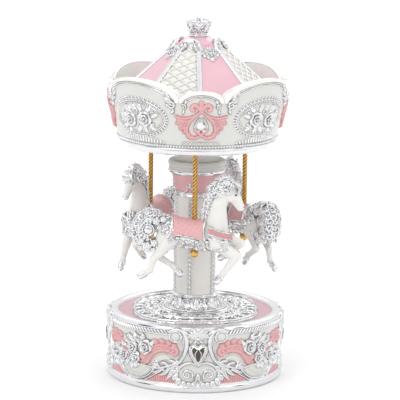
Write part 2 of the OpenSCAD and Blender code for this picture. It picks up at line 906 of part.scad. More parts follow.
// The cylinder lies along +X, over the wheel's face teeth
face_r = wheel_r - 1.6;
face_depth = gear_m * 1.7;
face_turn = 360 / wheel_teeth;
face_wide = gear_m * 0.78;
pin_m = gear_m * face_r / wheel_r;
cyl_z = wheel_top + pin_m * (drum_pinion_teeth / 2 + 0.85) + 0.1;
pinion_x = face_r - 0.8;
cyl_x = wheel_r + 3.4;
cyl_end = bed_r - 4.6;
comb_t = 0.9;
comb_z = cyl_z + comb_t / 2;
comb_y = cylinder_r + 0.9;

module bedplate() {
  color(brass)
    difference() {
      intersection() {
        translate([0, 0, bed_z])
          cylinder(r = bed_r, h = bed_t);
        translate([fan_at[0] - 6, -bed_r * 0.66, bed_z - 1])
          cube([bed_r * 2, bed_r * 1.2, bed_t + 2]);
      }
      translate([0, 0, bed_z - 1])
        cylinder(r = arbor_r + fit, h = bed_t + 2);
    }
}

module slotted_head(r) {
  difference() {
    cylinder(r = r, h = 1);
    translate([-r - 1, -0.25, 0.5])
      cube([r * 2 + 2, 0.5, 1]);
  }
}

// Screws through the bedplate and through the comb
module movement_screws() {
  part = (cyl_end - cyl_x - 2) / 6;
  color(steel) {
    for (p = [[0.6, -0.5], [0.4, 0.42], [-0.4, 0.42]])
      translate([bed_r * p[0], bed_r * p[1], bed_top])
        slotted_head(1.8);
    for (i = [1:3])
      translate([cyl_x + 1 + part * (i * 2 - 1), comb_y + 9.6, comb_z])
        slotted_head(1.3);
  }
}

// Tuned steel comb, its teeth end just off the cylinder's pins
module comb() {
  pitch = (cyl_end - cyl_x - 2) / notes;
  color(steel)
    translate([cyl_x + 1, 0, comb_z - comb_t])
      difference() {
        translate([0, comb_y, 0])
          cube([pitch * notes, 12, comb_t]);
        for (i = [1:notes - 1])
          translate([pitch * i - 0.12, comb_y - 1, -1])
            cube([0.24, 7.4, comb_t + 2]);
      }
}

module comb_block() {
  color(brass)
    translate([cyl_x + 1, comb_y + 6.8, bed_top])
      cube([cyl_end - cyl_x - 2, 5.2, comb_z - comb_t - bed_top]);
}

// Two cocks that carry the cylinder's shaft
module cylinder_brackets() {
  color(brass)
    difference() {
      for (x = [cyl_x - 1.8, cyl_end + 0.4])
        translate([x, -2.6, bed_top])
          cube([1.4, 5.2, cyl_z + 2 - bed_top]);
      translate([wheel_r, 0, cyl_z])
        rotate([0, 90, 0])
          cylinder(r = 1 + fit, h = bed_r);
    }
}

module pin_cylinder() {
  rows = notes;
  color(brass)
    translate([cyl_x, 0, cyl_z])
      rotate([0, 90, 0])
        difference() {
          cylinder(r = cylinder_r, h = cyl_end - cyl_x);
          translate([0, 0, -1])
            cylinder(r = 1, h = cyl_end - cyl_x + 2);
        }
  color(steel)
    for (i = [0:rows - 1])
      translate([cyl_x + 1 + (cyl_end - cyl_x - 2) * (i + 0.5) / rows, 0, cyl_z])
        rotate([(i * 137) % 360, 0, 0])
          translate([0, 0, cylinder_r - 0.5])
            cylinder(r = 0.18, h = 1);
}

// The cylinder's shaft with its overhung pinion
module cylinder_shaft() {
  color(steel)
    translate([pinion_x, 0, cyl_z])
      rotate([0, 90, 0]) {
        cylinder(r = 1, h = cyl_end + 2.4 - pinion_x);
        gear(drum_pinion_teeth, pin_m, 1.6);
      }
}

module governor_posts() {
  color(steel)
    for (p = [[gov_at, wheel_top - clear], [fan_at, barrel_top - 3]])
      translate([p[0][0], p[0][1], bed_top]) {
        cylinder(r = post_r, h = p[1] - bed_top);
        cylinder(r = post_r * 2, h = gov_z - bed_top - clear / 3);
      }
}

module governor_wheel() {
  mesh = gov_turn + 180;
  color(brass)
    translate([gov_at[0], gov_at[1], gov_z])
      difference() {
        union() {
          gear(gov_wheel_teeth, gear_m, gov_t);
          gear(gov_pinion_teeth, gear_m, wheel_top - gov_z, mesh + 180 / gov_pinion_teeth);
        }
        translate([0, 0, -1])
          cylinder(r = post_r + fit, h = wheel_top);
      }
}

// Fan pinion with two air brake blades
module governor_fan() {
  // the tooth gap that faces the governor wheel's tooth
  lead = (fan_turn * gov_wheel_teeth / fan_pinion_teeth);
  mesh = fan_turn + 180 + 180 / fan_pinion_teeth + lead;
  color(steel)
    translate([fan_at[0], fan_at[1], gov_z])
      difference() {
        union() {
          gear(fan_pinion_teeth, gear_m, gov_t, mesh);
          translate([0, 0, gov_t])
            cylinder(r = post_r + 0.6, h = barrel_top - 4 - gov_z - gov_t);
          translate([-4.6, -0.3, gov_t + 3.4])
            cube([9.2, 0.6, barrel_top - 9 - gov_z - gov_t]);
        }
        translate([0, 0, -1])
          cylinder(r = post_r + fit, h = barrel_top);
      }
}

// Great wheel with rim teeth for the governor and face teeth for the cylinder
module great_wheel() {
  color(brass)
    difference() {
      union() {
        translate([0, 0, wheel_z])
          gear(wheel_teeth, gear_m, wheel_t, gov_turn);
        around(wheel_teeth, face_turn / 2)
          translate([barrel_r + 1.2, 0, wheel_top - eps])
            rotate([quarter, 0, quarter])
              linear_extrude(wheel_r - barrel_r - 2)
                polygon([
                  [-face_wide, -wheel_t / 4], [face_wide, -wheel_t / 4],
                  [face_wide * 0.3, face_depth], [-face_wide * 0.3, face_depth]
                ]);
      }
      translate([0, 0, wheel_z - 1])
        cylinder(r = arbor_r + fit, h = wheel_t + 2);
    }
}

// Closed drum around the mainspring, fixed on the great wheel
module spring_barrel() {
  color(steel)
    difference() {
      translate([0, 0, wheel_top])
        cylinder(r = barrel_r, h = barrel_top - wheel_top);
      translate([0, 0, wheel_top - 1])
        cylinder(r = arbor_r + fit, h = barrel_top - wheel_top - 1);
    }
}

module winding_arbor() {
  color(steel) {
    translate([0, 0, plate_z - 4])
      cylinder(r = arbor_r, h = barrel_top - 3 - plate_z + 4);
    translate([0, 0, bed_top + clear])
      cylinder(r = arbor_r * 2, h = wheel_z - bed_top - clear * 2);
  }
}

// Butterfly key on the arbor's end, inside the foot
module winding_key() {
  low = 1.6;
  boss = plate_z - 4 - low;
  color(gold)
    difference() {
      union() {
        translate([0, 0, low + boss * 0.3])
          cylinder(r = arbor_r * 1.6, h = plate_z - 1.4 - low - boss * 0.3);
        intersection() {
          for (s = [-1, 1])
            translate([s * 5.4, 0.7, low + 4.4])
              rotate([quarter, 0, 0])
                difference() {
                  cylinder(r = 4.8, h = 1.4);
                  translate([s * 0.8, 0, -1])
                    cylinder(r = 2.2, h = 4);
                }
          translate([-12, -3, low])
            cube([24, 6, plate_z - low - 1.6]);
        }
      }
      translate([0, 0, plate_z - 4])
        cylinder(r = arbor_r, h = 5);
    }
}

// ---------- selection ----------

base_drum();
relief_plate();
bottom_plate();
bottom_screws();
for (i = [1:4])
  cartouche(quarter * (i - 1));
for (i = [1:4])
  rose_spray(quarter * (i - 0.5), pow(-1, i));
column_skirt();
column_shaft();
column_capital();
column_cap();
shaft_bush();
bedplate();
movement_screws();
comb();
comb_block();
pole_nuts();
cylinder_brackets();
governor_posts();
crown_wall();
roof();
canopy_floor();
finial();
drive_hub();
drive_shaft();
great_wheel();
spring_barrel();
pin_cylinder();
cylinder_shaft();
governor_wheel();
governor_fan();
winding_arbor();
winding_key();
for (i = [1:4])
  crown_cameo(quarter * (i - 0.5));
for (i = [1:4])
  crown_scroll(quarter * (i - 1));
for (i = [1:horses])
  horse(i - 1);
for (i = [1:horses])
  pole(i - 1);
for (i = [1:4])
  roof_lattice(quarter * (i - 1) - half_face);
for (i = [1:horses])
  pole_ball(i - 1);
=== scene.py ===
"""Looks of the wind-up carousel music box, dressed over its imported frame.

Sizes are millimetres in the row frame until a mesh is made: +Z is up and the
front faces -Y. Ornament is carved as height fields on the real walls, and
the horses are built from fused forms with separate hair, straps and gems.
"""

import logging
from collections.abc import Callable, Iterable, Sequence
from dataclasses import dataclass
from enum import Enum, IntEnum
from math import cos, hypot, pi, radians, sin, sqrt, tan

import bpy
import numpy as np
from mathutils import Matrix, Vector
from mathutils.bvhtree import BVHTree


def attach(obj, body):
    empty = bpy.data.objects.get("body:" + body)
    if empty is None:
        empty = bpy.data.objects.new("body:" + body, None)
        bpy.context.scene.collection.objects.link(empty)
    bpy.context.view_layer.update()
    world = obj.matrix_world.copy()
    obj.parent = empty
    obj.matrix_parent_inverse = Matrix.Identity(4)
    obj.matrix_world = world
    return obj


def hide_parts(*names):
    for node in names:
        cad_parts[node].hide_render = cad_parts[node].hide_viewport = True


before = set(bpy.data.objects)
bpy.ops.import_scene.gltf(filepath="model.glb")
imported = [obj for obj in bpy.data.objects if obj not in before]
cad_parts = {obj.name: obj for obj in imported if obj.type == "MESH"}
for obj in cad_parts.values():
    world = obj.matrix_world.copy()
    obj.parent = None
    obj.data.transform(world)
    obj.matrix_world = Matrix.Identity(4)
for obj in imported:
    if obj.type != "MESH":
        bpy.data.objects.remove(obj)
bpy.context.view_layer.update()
MM = 0.001
RECESS_ROUNDS = 4  # rounds of blur that find the hollows of a carving
RECESS_GAIN = 6.0  # share of painted recess shade for each millimetre below the blur
FAR = 1e9  # farther than anything on a sheet
TINY = 1e-12  # keeps a division clear of nought
SEAM = 0.6  # an edge this near a mirror line in all counts as lying on it
RIB = 0.22  # height of the ribs across a field, in millimetres
COAT_ROUGHNESS = 0.12  # a sprayed clear coat, a little short of a mirror
log = logging.getLogger("music_box")

Row = Sequence[float]
Array = np.ndarray
Place = Callable[[Array, Array, Array], Array]


def linear(code: str) -> tuple[float, float, float, float]:
    """Turn an sRGB hex colour into linear light.

    Args:
        code: Six hex digits, with or without a leading hash.

    Returns:
        Red, green, blue and an alpha of one.
    """
    parts = [int(code.lstrip("#")[i : i + 2], 16) / 255 for i in (0, 2, 4)]
    lit = [p / 12.92 if p <= 0.04045 else ((p + 0.055) / 1.055) ** 2.4 for p in parts]
    return (lit[0], lit[1], lit[2], 1.0)


def add_node(
    tree: bpy.types.NodeTree, kind: str, inputs: dict | None = None, **settings: object
) -> bpy.types.Node:
    """Add a shader node with its settings and its links.

    Args:
        tree: Tree that gets the node.
        kind: Blender's name for its type.
        inputs: Values, or sockets to link from, by input.
        settings: Settings of the node itself.

    Returns:
        The new node.
    """
    node = tree.nodes.new(kind)
    for name, value in settings.items():
        setattr(node, name, value)
    for socket, value in (inputs or {}).items():
        if isinstance(value, bpy.types.NodeSocket):
            tree.links.new(value, node.inputs[socket])
        else:
            node.inputs[socket].default_value = value
    return node


@dataclass(frozen=True)
class Finish:
    """A finish named for the real one, with the name of a record slot.

    Attributes:
        name: Material name.
        slot: Material slot of the record, or nothing for a small detail; not used.
        light: Main colour as sRGB hex.
        dark: Colour of the slow variation as sRGB hex.
        metallic: Share of bare metal in the surface.
        smooth: Least roughness.
        rough: Greatest roughness.
        grain: Size of the surface variation in millimetres.
        depth: Depth of the surface ripple in millimetres.
        coat: Weight of the clear coat.
        hollow: Colour of the painted shade in recesses as sRGB hex, or nothing.
        stretch: Stretch of the variation along each axis.
    """

    name: str
    slot: str | None
    light: str
    dark: str
    metallic: float
    smooth: float
    rough: float
    grain: float
    depth: float
    coat: float = 0.0
    hollow: str = ""
    stretch: tuple[float, float, float] = (1.0, 1.0, 1.0)

    def material(self) -> bpy.types.Material:
        """Return the Blender material, made on first use.

        Returns:
            The material of this finish.
        """
        found = bpy.data.materials.get(self.name)
        if found is not None:
            return found
        made = bpy.data.materials.new(self.name)
        made.use_nodes = True
        tree = made.node_tree
        shader = tree.nodes["Principled BSDF"]
        where = add_node(tree, "ShaderNodeTexCoord")
        sized = add_node(
            tree, "ShaderNodeMapping", {"Vector": where.outputs["Object"], "Scale": self.stretch})
        spots = {
            "Vector": sized.outputs["Vector"], "Scale": 1 / (self.grain * MM), "Detail": 3.0,
            "Roughness": 0.55}
        speck = add_node(tree, "ShaderNodeTexNoise", spots).outputs["Fac"]
        tint = {"Factor": speck, 6: linear(self.light), 7: linear(self.dark)}
        colour = add_node(tree, "ShaderNodeMix", tint, data_type="RGBA").outputs[2]
        # Painted shade: the recess colour is mixed in by each point's recess depth.
        if self.hollow:
            recess = add_node(tree, "ShaderNodeAttribute", attribute_name="hollow")
            painted_shade = {"Factor": recess.outputs["Fac"], 6: colour, 7: linear(self.hollow)}
            colour = add_node(tree, "ShaderNodeMix", painted_shade, data_type="RGBA").outputs[2]
        gloss = add_node(
            tree, "ShaderNodeMapRange", {"Value": speck, "To Min": self.smooth, "To Max": self.rough})
        ripple = add_node(
            tree, "ShaderNodeBump", {"Height": speck, "Distance": self.depth * MM, "Strength": 1.0})
        tree.links.new(colour, shader.inputs["Base Color"])
        tree.links.new(gloss.outputs["Result"], shader.inputs["Roughness"])
        tree.links.new(ripple.outputs["Normal"], shader.inputs["Normal"])
        shader.inputs["Metallic"].default_value = self.metallic
        shader.inputs["Coat Weight"].default_value = self.coat
        shader.inputs["Coat Roughness"].default_value = COAT_ROUGHNESS
        return made


# Grain is a real size. Pearl flake, stone tooth, brush marks and board fibre
# are too fine for the render, so theirs is drawn up to ten times as coarse.

# Vacuum-plated silver over cast resin: bright, with the casting's soft
# ripple left in it and a grey painted shade in the recesses.
SILVER = Finish(
    "plated silver", "silver_plate", "#F4F4F5", "#DFE0E3", 1.0, 0.09, 0.22, 5.0, 0.05, hollow="#9C9A98")
# Pearl spray lacquer: off-white with fine pearl flake, and a warm
# painted shade in the recesses of the carving.
PEARL = Finish(
    "pearl lacquer", "pearl_lacquer", "#DADAD6", "#D1D1CC", 0.0, 0.26, 0.38, 0.9, 0.02, 0.35, "#B9B7AC")
# The same silver, darkened as a painted dark reflection in the heart's deep facets.
SMOKE = Finish("shadowed silver", "silver_plate", "#6F665C", "#3F3A36", 1.0, 0.14, 0.3, 1.4, 0.04)
# Pearl over the horses, a touch creamier, and lighter than on the walls as
# painted light against the shade under the canopy; warm painted shade in its recesses.
LIT_HORSE_PEARL = Finish(
    "horse pearl lacquer", "pearl_lacquer", "#E9E7E3", "#E1DFDA", 0.0, 0.26, 0.36, 1.1, 0.02, 0.35, "#BDB8AC")
# Pale pink spray enamel on the smooth roof panels: an even semi-gloss.
PALE_PINK = Finish(
    "pale pink enamel", "pale_pink_lacquer", "#E9BFCA", "#E3B6C2", 0.0, 0.24, 0.34, 6.0, 0.02, 0.3)
# Brushed-on salmon pink enamel, with soft brush marks over the leaves
# and a deeper painted shade in its recesses.
ROSE_PINK = Finish(
    "rose pink enamel", "rose_pink_lacquer", "#E3B2B4", "#DAA5A8", 0.0, 0.34, 0.48, 1.6, 0.04, 0.1, "#BF7D80")
# The same enamel where it is flooded over the deck, a touch cooler.
DECK_PINK = Finish(
    "deck pink enamel", "rose_pink_lacquer", "#D4A5AF", "#CA9AA6", 0.0, 0.28, 0.4, 3.0, 0.03, 0.2)
# The pearl lacquer made whiter as painted light, for the lattice panels that face
# the sky and the shaded inner crown wall, with grey painted shade in the recesses.
WHITE = Finish(
    "white lattice lacquer", "pearl_lacquer", "#F0EFEC", "#E9E8E3", 0.0, 0.26, 0.36, 0.9, 0.02, 0.3, "#CFCDC6"
)
# Warm grey-white lacquer on the column, with a fine stone-like tooth
# and grey painted shade in its recesses.
STONE = Finish(
    "stone white lacquer", "stone_lacquer", "#ECEAE5", "#E3E0DB", 0.0, 0.38, 0.52, 1.2, 0.03, 0.1, "#ABA59C")
# The same lacquer, greyer as painted shade on the stepped cap under the
# canopy, with grey painted shade in its recesses.
SHADED_STONE = Finish(
    "shaded stone white lacquer", "stone_lacquer", "#D5D3CE", "#CBC8C3", 0.0, 0.38, 0.52, 1.2, 0.03, 0.1,
    "#ABA59C")
# Bright gilt on drawn brass: the poles, balls and key, with a dark brown
# painted shade in the grooves of the twisted poles.
GILT = Finish("bright gilt", "gilt", "#EFCB80", "#D6A352", 1.0, 0.16, 0.30, 2.0, 0.02, hollow="#5E3812")
# Brass of the movement, turned and lightly brushed.
BRASS = Finish(
    "brushed brass", "movement_brass", "#CFAE66", "#B8944E", 1.0, 0.26, 0.42, 0.6, 0.02,
    stretch=(0.1, 1.0, 1.0))
# Ground spring steel of the comb, shafts and screws.
STEEL = Finish(
    "ground steel", "movement_steel", "#B9BBBE", "#9EA1A5", 1.0, 0.24, 0.40, 0.6, 0.02,
    stretch=(0.1, 1.0, 1.0))
# Black fibre board under the movement, with its pressed fibre grain.
BOARD = Finish("black fibre board", "black_board", "#232324", "#2E2D2C", 0.0, 0.62, 0.78, 0.8, 0.06)
# Glossy dark enamel of the horses' eyes.
JET = Finish("jet enamel", None, "#1B1614", "#2A211C", 0.0, 0.08, 0.14, 1.0, 0.0, 0.8)
# Matt white paper of the floor: it only shows soft contact shadows.
PAPER = Finish("white paper sweep", None, "#FBFBFB", "#F7F7F7", 0.0, 0.7, 0.8, 40.0, 0.0)
# Dark matt card beside the lamps: soft dark marks in the silver.
CARD = Finish("dark card", None, "#2E2E30", "#343436", 0.0, 0.8, 0.9, 60.0, 0.0)


class Paint(IntEnum):
    """What covers a point of a carved surface, or BARE where it is cut away."""

    BARE = 0
    PEARL = 1
    SILVER = 2
    ROSE = 3
    PALE = 4
    STONE = 5
    WHITE = 6
    SMOKE = 7

    def finish(self) -> Finish:
        """Return the finish of this paint."""
        return {1: PEARL, 2: SILVER, 3: ROSE_PINK, 4: PALE_PINK, 5: STONE, 6: WHITE, 7: SMOKE}[int(self)]


class Body(Enum):
    """Bodies of the frame that pieces ride on."""

    BASE = "base"
    CAROUSEL = "carousel"


def spline(points: Sequence[Row], count: int) -> Array:
    """Draw a smooth line through points.

    Args:
        points: Points on the line.
        count: Steps from point to point.

    Returns:
        The line's points.
    """
    p = np.asarray(points, float)
    p = np.vstack([2 * p[0] - p[1], p, 2 * p[-1] - p[-2]])
    t = np.linspace(0, 1, count, endpoint=False)[:, None]
    out = []
    for a, b, c, d in zip(p[:-3], p[1:-2], p[2:-1], p[3:]):
        out.append(
            0.5 * (2 * b + (c - a) * t + (2 * a - 5 * b + 4 * c - d) * t**2 + (3 * b - a - 3 * c + d) * t**3))
    out.append(p[-2:-1])
    return np.vstack(out)


def curve(*flat: float, steps: int = 5) -> Array:
    """Draw a smooth line through points of a sheet, given as u, v, u, v and so on."""
    return spline(np.reshape(flat, (-1, 2)), steps)


def midline(*flat: float, steps: int = 5) -> Array:
    """Draw a smooth line in the plane Y = 0 through points given as x, z, x, z and so on."""
    return np.insert(curve(*flat, steps=steps), 1, 0.0, axis=1)


def bulge(count: int, least: float, most: float, peak: float = 0.5) -> Array:
    """Return widths that grow to a peak and fall again.

    Args:
        count: Number of widths.
        least: Width at both ends.
        most: Width at the peak.
        peak: Where the peak lies, from 0 to 1.

    Returns:
        The widths.
    """
    t = np.linspace(0, 1, count) ** (np.log(0.5) / np.log(peak))
    return least + (most - least) * np.sin(pi * t)


def circle(count: int) -> Array:
    """Return evenly spaced angles of one full turn, in radians."""
    return np.linspace(0, 2 * pi, count, endpoint=False)


def around(r: Array | float, turn: Array | float, z: Array | float) -> Array:
    """Return the points at a radius, at a turn from -Y in radians, and at a height."""
    return np.stack(np.broadcast_arrays(r * np.sin(turn), -r * np.cos(turn), z), -1)


def unit(way: Array) -> Array:
    """Return directions brought to a length of one."""
    return way / np.linalg.norm(way, axis=-1, keepdims=True)


def within(u: Array, v: Array, x: Array, y: Array, seams: Iterable[float]) -> tuple[Array, Array]:
    """Compare the points of a sheet with an outline.

    Args:
        u: Places of the points across.
        v: Places of the points up.
        x: Places of the outline's corners across.
        y: Places of the outline's corners up.
        seams: Lines where the form runs on, without a bevel.

    Returns:
        Which points lie inside, and how far each is from the nearest edge.
    """
    inside = np.zeros(u.shape, bool)
    near = np.full(u.shape, FAR)
    for ax, ay, bx, by in zip(x, y, np.roll(x, -1), np.roll(y, -1)):
        if ay != by:
            inside ^= ((ay > v) != (by > v)) & (u < (bx - ax) * (v - ay) / (by - ay) + ax)
        if any(abs(ax - line) + abs(bx - line) < SEAM for line in seams):
            continue
        t = ((u - ax) * (bx - ax) + (v - ay) * (by - ay)) / ((bx - ax) ** 2 + (by - ay) ** 2 + TINY)
        t = np.clip(t, 0, 1)
        near = np.minimum(near, np.hypot(u - ax - t * (bx - ax), v - ay - t * (by - ay)))
    return inside, near


def add_object(name: str, data: bpy.types.ID) -> bpy.types.Object:
    """Put a mesh, a light or a camera into the scene as an object.

    Args:
        name: Object name.
        data: Mesh, light or camera that it holds.

    Returns:
        The new object.
    """
    item = bpy.data.objects.new(name, data)
    bpy.context.scene.collection.objects.link(item)
    return item


def make_piece(
    name: str, points: Array, faces: Sequence[Sequence[int]] | Array, finish: Finish, body: Body,
    stands_for: Iterable[str] = (), place: Matrix | None = None, hollow: Array | None = None
) -> bpy.types.Object:
    """Make a mesh piece, dress it and let it ride on its body.

    Args:
        name: Piece name.
        points: Points in millimetres.
        faces: Corner indices of each face.
        finish: Finish of the whole piece.
        body: Body that the piece moves with.
        stands_for: Nodes of the frame that the piece replaces.
        place: Where the piece goes, if not where it was drawn.
        hollow: Depth of each point in a recess, 0 to 1, which sets its painted shade.

    Returns:
        The new object.
    """
    mesh = bpy.data.meshes.new(name)
    if isinstance(faces, Array):
        mesh.vertices.add(len(points))
        mesh.vertices.foreach_set("co", np.asarray(points * MM, np.float32).ravel())
        mesh.loops.add(faces.size)
        mesh.loops.foreach_set("vertex_index", faces.astype(np.int32).ravel())
        mesh.polygons.add(len(faces))
        mesh.polygons.foreach_set("loop_start", np.arange(0, faces.size, faces.shape[1], dtype=np.int32))
        mesh.update(calc_edges=True)
    else:
        mesh.from_pydata((np.asarray(points) * MM).tolist(), [], list(faces))
    mesh.validate()
    mesh.polygons.foreach_set("use_smooth", np.full(len(mesh.polygons), True))
    # The recess depth is kept on the mesh, where it drives the painted shade in recesses.
    if hollow is not None and len(hollow) == len(mesh.vertices):
        depth = mesh.attributes.new("hollow", "FLOAT", "POINT")
        depth.data.foreach_set("value", hollow.astype(np.float32))
    mesh.materials.append(finish.material())
    piece = add_object(name, mesh)
    if place is not None:
        piece.matrix_world = place
    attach(piece, body.value)
    if stands_for:
        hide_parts(*stands_for)
    log.info("%s: %d faces on %s", name, len(mesh.polygons), body.value)
    return piece


class Shape:
    """Closed forms gathered into one mesh, in millimetres."""

    def __init__(self) -> None:
        """Start with no points and no faces."""
        self.points: list[Array] = []
        self.faces: list[tuple[int, ...]] = []
        self.count = 0

    def add(self, points: Array, faces: Iterable[Sequence[int]]) -> None:
        """Add points and the faces that join them.

        Args:
            points: New points.
            faces: Faces, counted from the first new point.
        """
        self.points.append(np.asarray(points, float))
        self.faces.extend(tuple(int(i) + self.count for i in f) for f in faces)
        self.count += len(points)

    def rings(self, rings: Array, caps: bool = True, closed: bool = False) -> None:
        """Join rings of points into a skin.

        Args:
            rings: Points as rows of rings.
            caps: Whether both ends are closed by a face.
            closed: Whether the last ring joins the first.
        """
        n, m = rings.shape[:2]
        last = n if closed else n - 1
        faces: list[Sequence[int]] = []
        for i in range(last):
            a, b = i * m, (i + 1) % n * m
            faces += [(a + j, a + (j + 1) % m, b + (j + 1) % m, b + j) for j in range(m)]
        if caps and not closed:
            faces += [tuple(range(m))[::-1], tuple(range((n - 1) * m, n * m))]
        self.add(rings.reshape(-1, 3), faces)

    def tube(self, path: Array, radii: Array | float, sides: int = 8, flat: float = 1.0) -> None:
        """Sweep a round section along a path.

        Args:
            path: Points of the centre line.
            radii: Radius, one or for each point.
            sides: Sides of the section.
            flat: Height of the section over its width.
        """
        path = np.asarray(path, float)
        radii = np.broadcast_to(np.asarray(radii, float), (len(path),))
        along = np.gradient(path, axis=0)
        along /= np.linalg.norm(along, axis=1)[:, None] + TINY
        side = np.cross(along[0], (0.0, 0.0, 1.0))
        if np.linalg.norm(side) < 0.1:
            side = np.cross(along[0], (0.0, 1.0, 0.0))
        turn = circle(sides)[:, None]
        out = []
        for p, t, r in zip(path, along, radii):
            side = side - t * (side @ t)
            side /= np.linalg.norm(side)
            up = np.cross(side, t)
            out.append(p + r * (np.cos(turn) * side + flat * np.sin(turn) * up))
        self.rings(np.array(out)[:, ::-1])

    def ball(self, centre: Row, radius: float | Row, rows: int = 10, sides: int = 16) -> None:
        """Add a ball or an ellipsoid.

        Args:
            centre: Its centre.
            radius: Radius, one or for each axis.
            rows: Rows from pole to pole.
            sides: Sides around it.
        """
        size = np.broadcast_to(np.asarray(radius, float), (3,))
        a = np.linspace(0.02, pi - 0.02, rows)[:, None]
        b = circle(sides)
        ring = np.stack(np.broadcast_arrays(np.sin(a) * np.cos(b), np.sin(a) * np.sin(b), -np.cos(a)), -1)
        self.rings(ring * size + np.asarray(centre, float))

    def limb(self, a: Row, b: Row, ra: float, rb: float, flat: float = 1.0, sides: int = 18) -> None:
        """Add a tapered form with round ends.

        Args:
            a: First joint.
            b: Second joint.
            ra: Radius at the first joint.
            rb: Radius at the second joint.
            flat: Depth across Y over the depth in the XZ plane.
            sides: Sides of its section.
        """
        a, b = np.asarray(a, float), np.asarray(b, float)
        way = (b - a) / (np.linalg.norm(b - a) + 1e-9)
        ends = np.linspace(0, pi / 2, 6)
        path = [a - way * ra * cos(e) for e in ends] + [b + way * rb * sin(e) for e in ends]
        radii = [max(0.02, ra * sin(e)) for e in ends] + [max(0.02, rb * cos(e)) for e in ends]
        start = len(self.points)
        self.tube(np.array(path), np.array(radii), sides)
        mid = (a[1] + b[1]) / 2
        self.points[start][:, 1] = mid + (self.points[start][:, 1] - mid) * flat

    def lathe(self, line: Array, steps: int = 192, closed: bool = True) -> None:
        """Turn an outline of radius and height about the Z axis.

        Args:
            line: Radius and height of each point, up the outside.
            steps: Sides of the turned form.
            closed: Whether its end joins its start.
        """
        line = np.asarray(line, float)[:, :, None]
        self.rings(around(line[:, 0], circle(steps), line[:, 1]), caps=False, closed=closed)

    def piece(self, name: str, finish: Finish, body: Body, **extra: object) -> bpy.types.Object:
        """Make the gathered forms into a piece; see make_piece."""
        return make_piece(name, np.vstack(self.points), self.faces, finish, body, **extra)

    def melted(self, voxel: float, rounds: int) -> tuple[Array, Array]:
        """Fuse the overlapping forms into one smooth skin.

        Args:
            voxel: Cell of the remesh in millimetres.
            rounds: Rounds of smoothing.

        Returns:
            Points in millimetres, and four corners for each face.
        """
        mesh = bpy.data.meshes.new("melt")
        mesh.from_pydata(np.vstack(self.points).tolist(), [], self.faces)
        form = add_object("melt", mesh)
        fuse = form.modifiers.new("fuse", "REMESH")
        fuse.mode = "VOXEL"
        fuse.voxel_size = voxel
        soften = form.modifiers.new("soften", "SMOOTH")
        soften.factor = 0.5
        soften.iterations = rounds
        done = form.evaluated_get(bpy.context.evaluated_depsgraph_get()).to_mesh()
        points = np.zeros(len(done.vertices) * 3)
        done.vertices.foreach_get("co", points)
        faces = np.array([tuple(f.vertices) for f in done.polygons if len(f.vertices) == 4])
        form.to_mesh_clear()
        bpy.data.objects.remove(form)
        bpy.data.meshes.remove(mesh)
        return points.reshape(-1, 3), faces


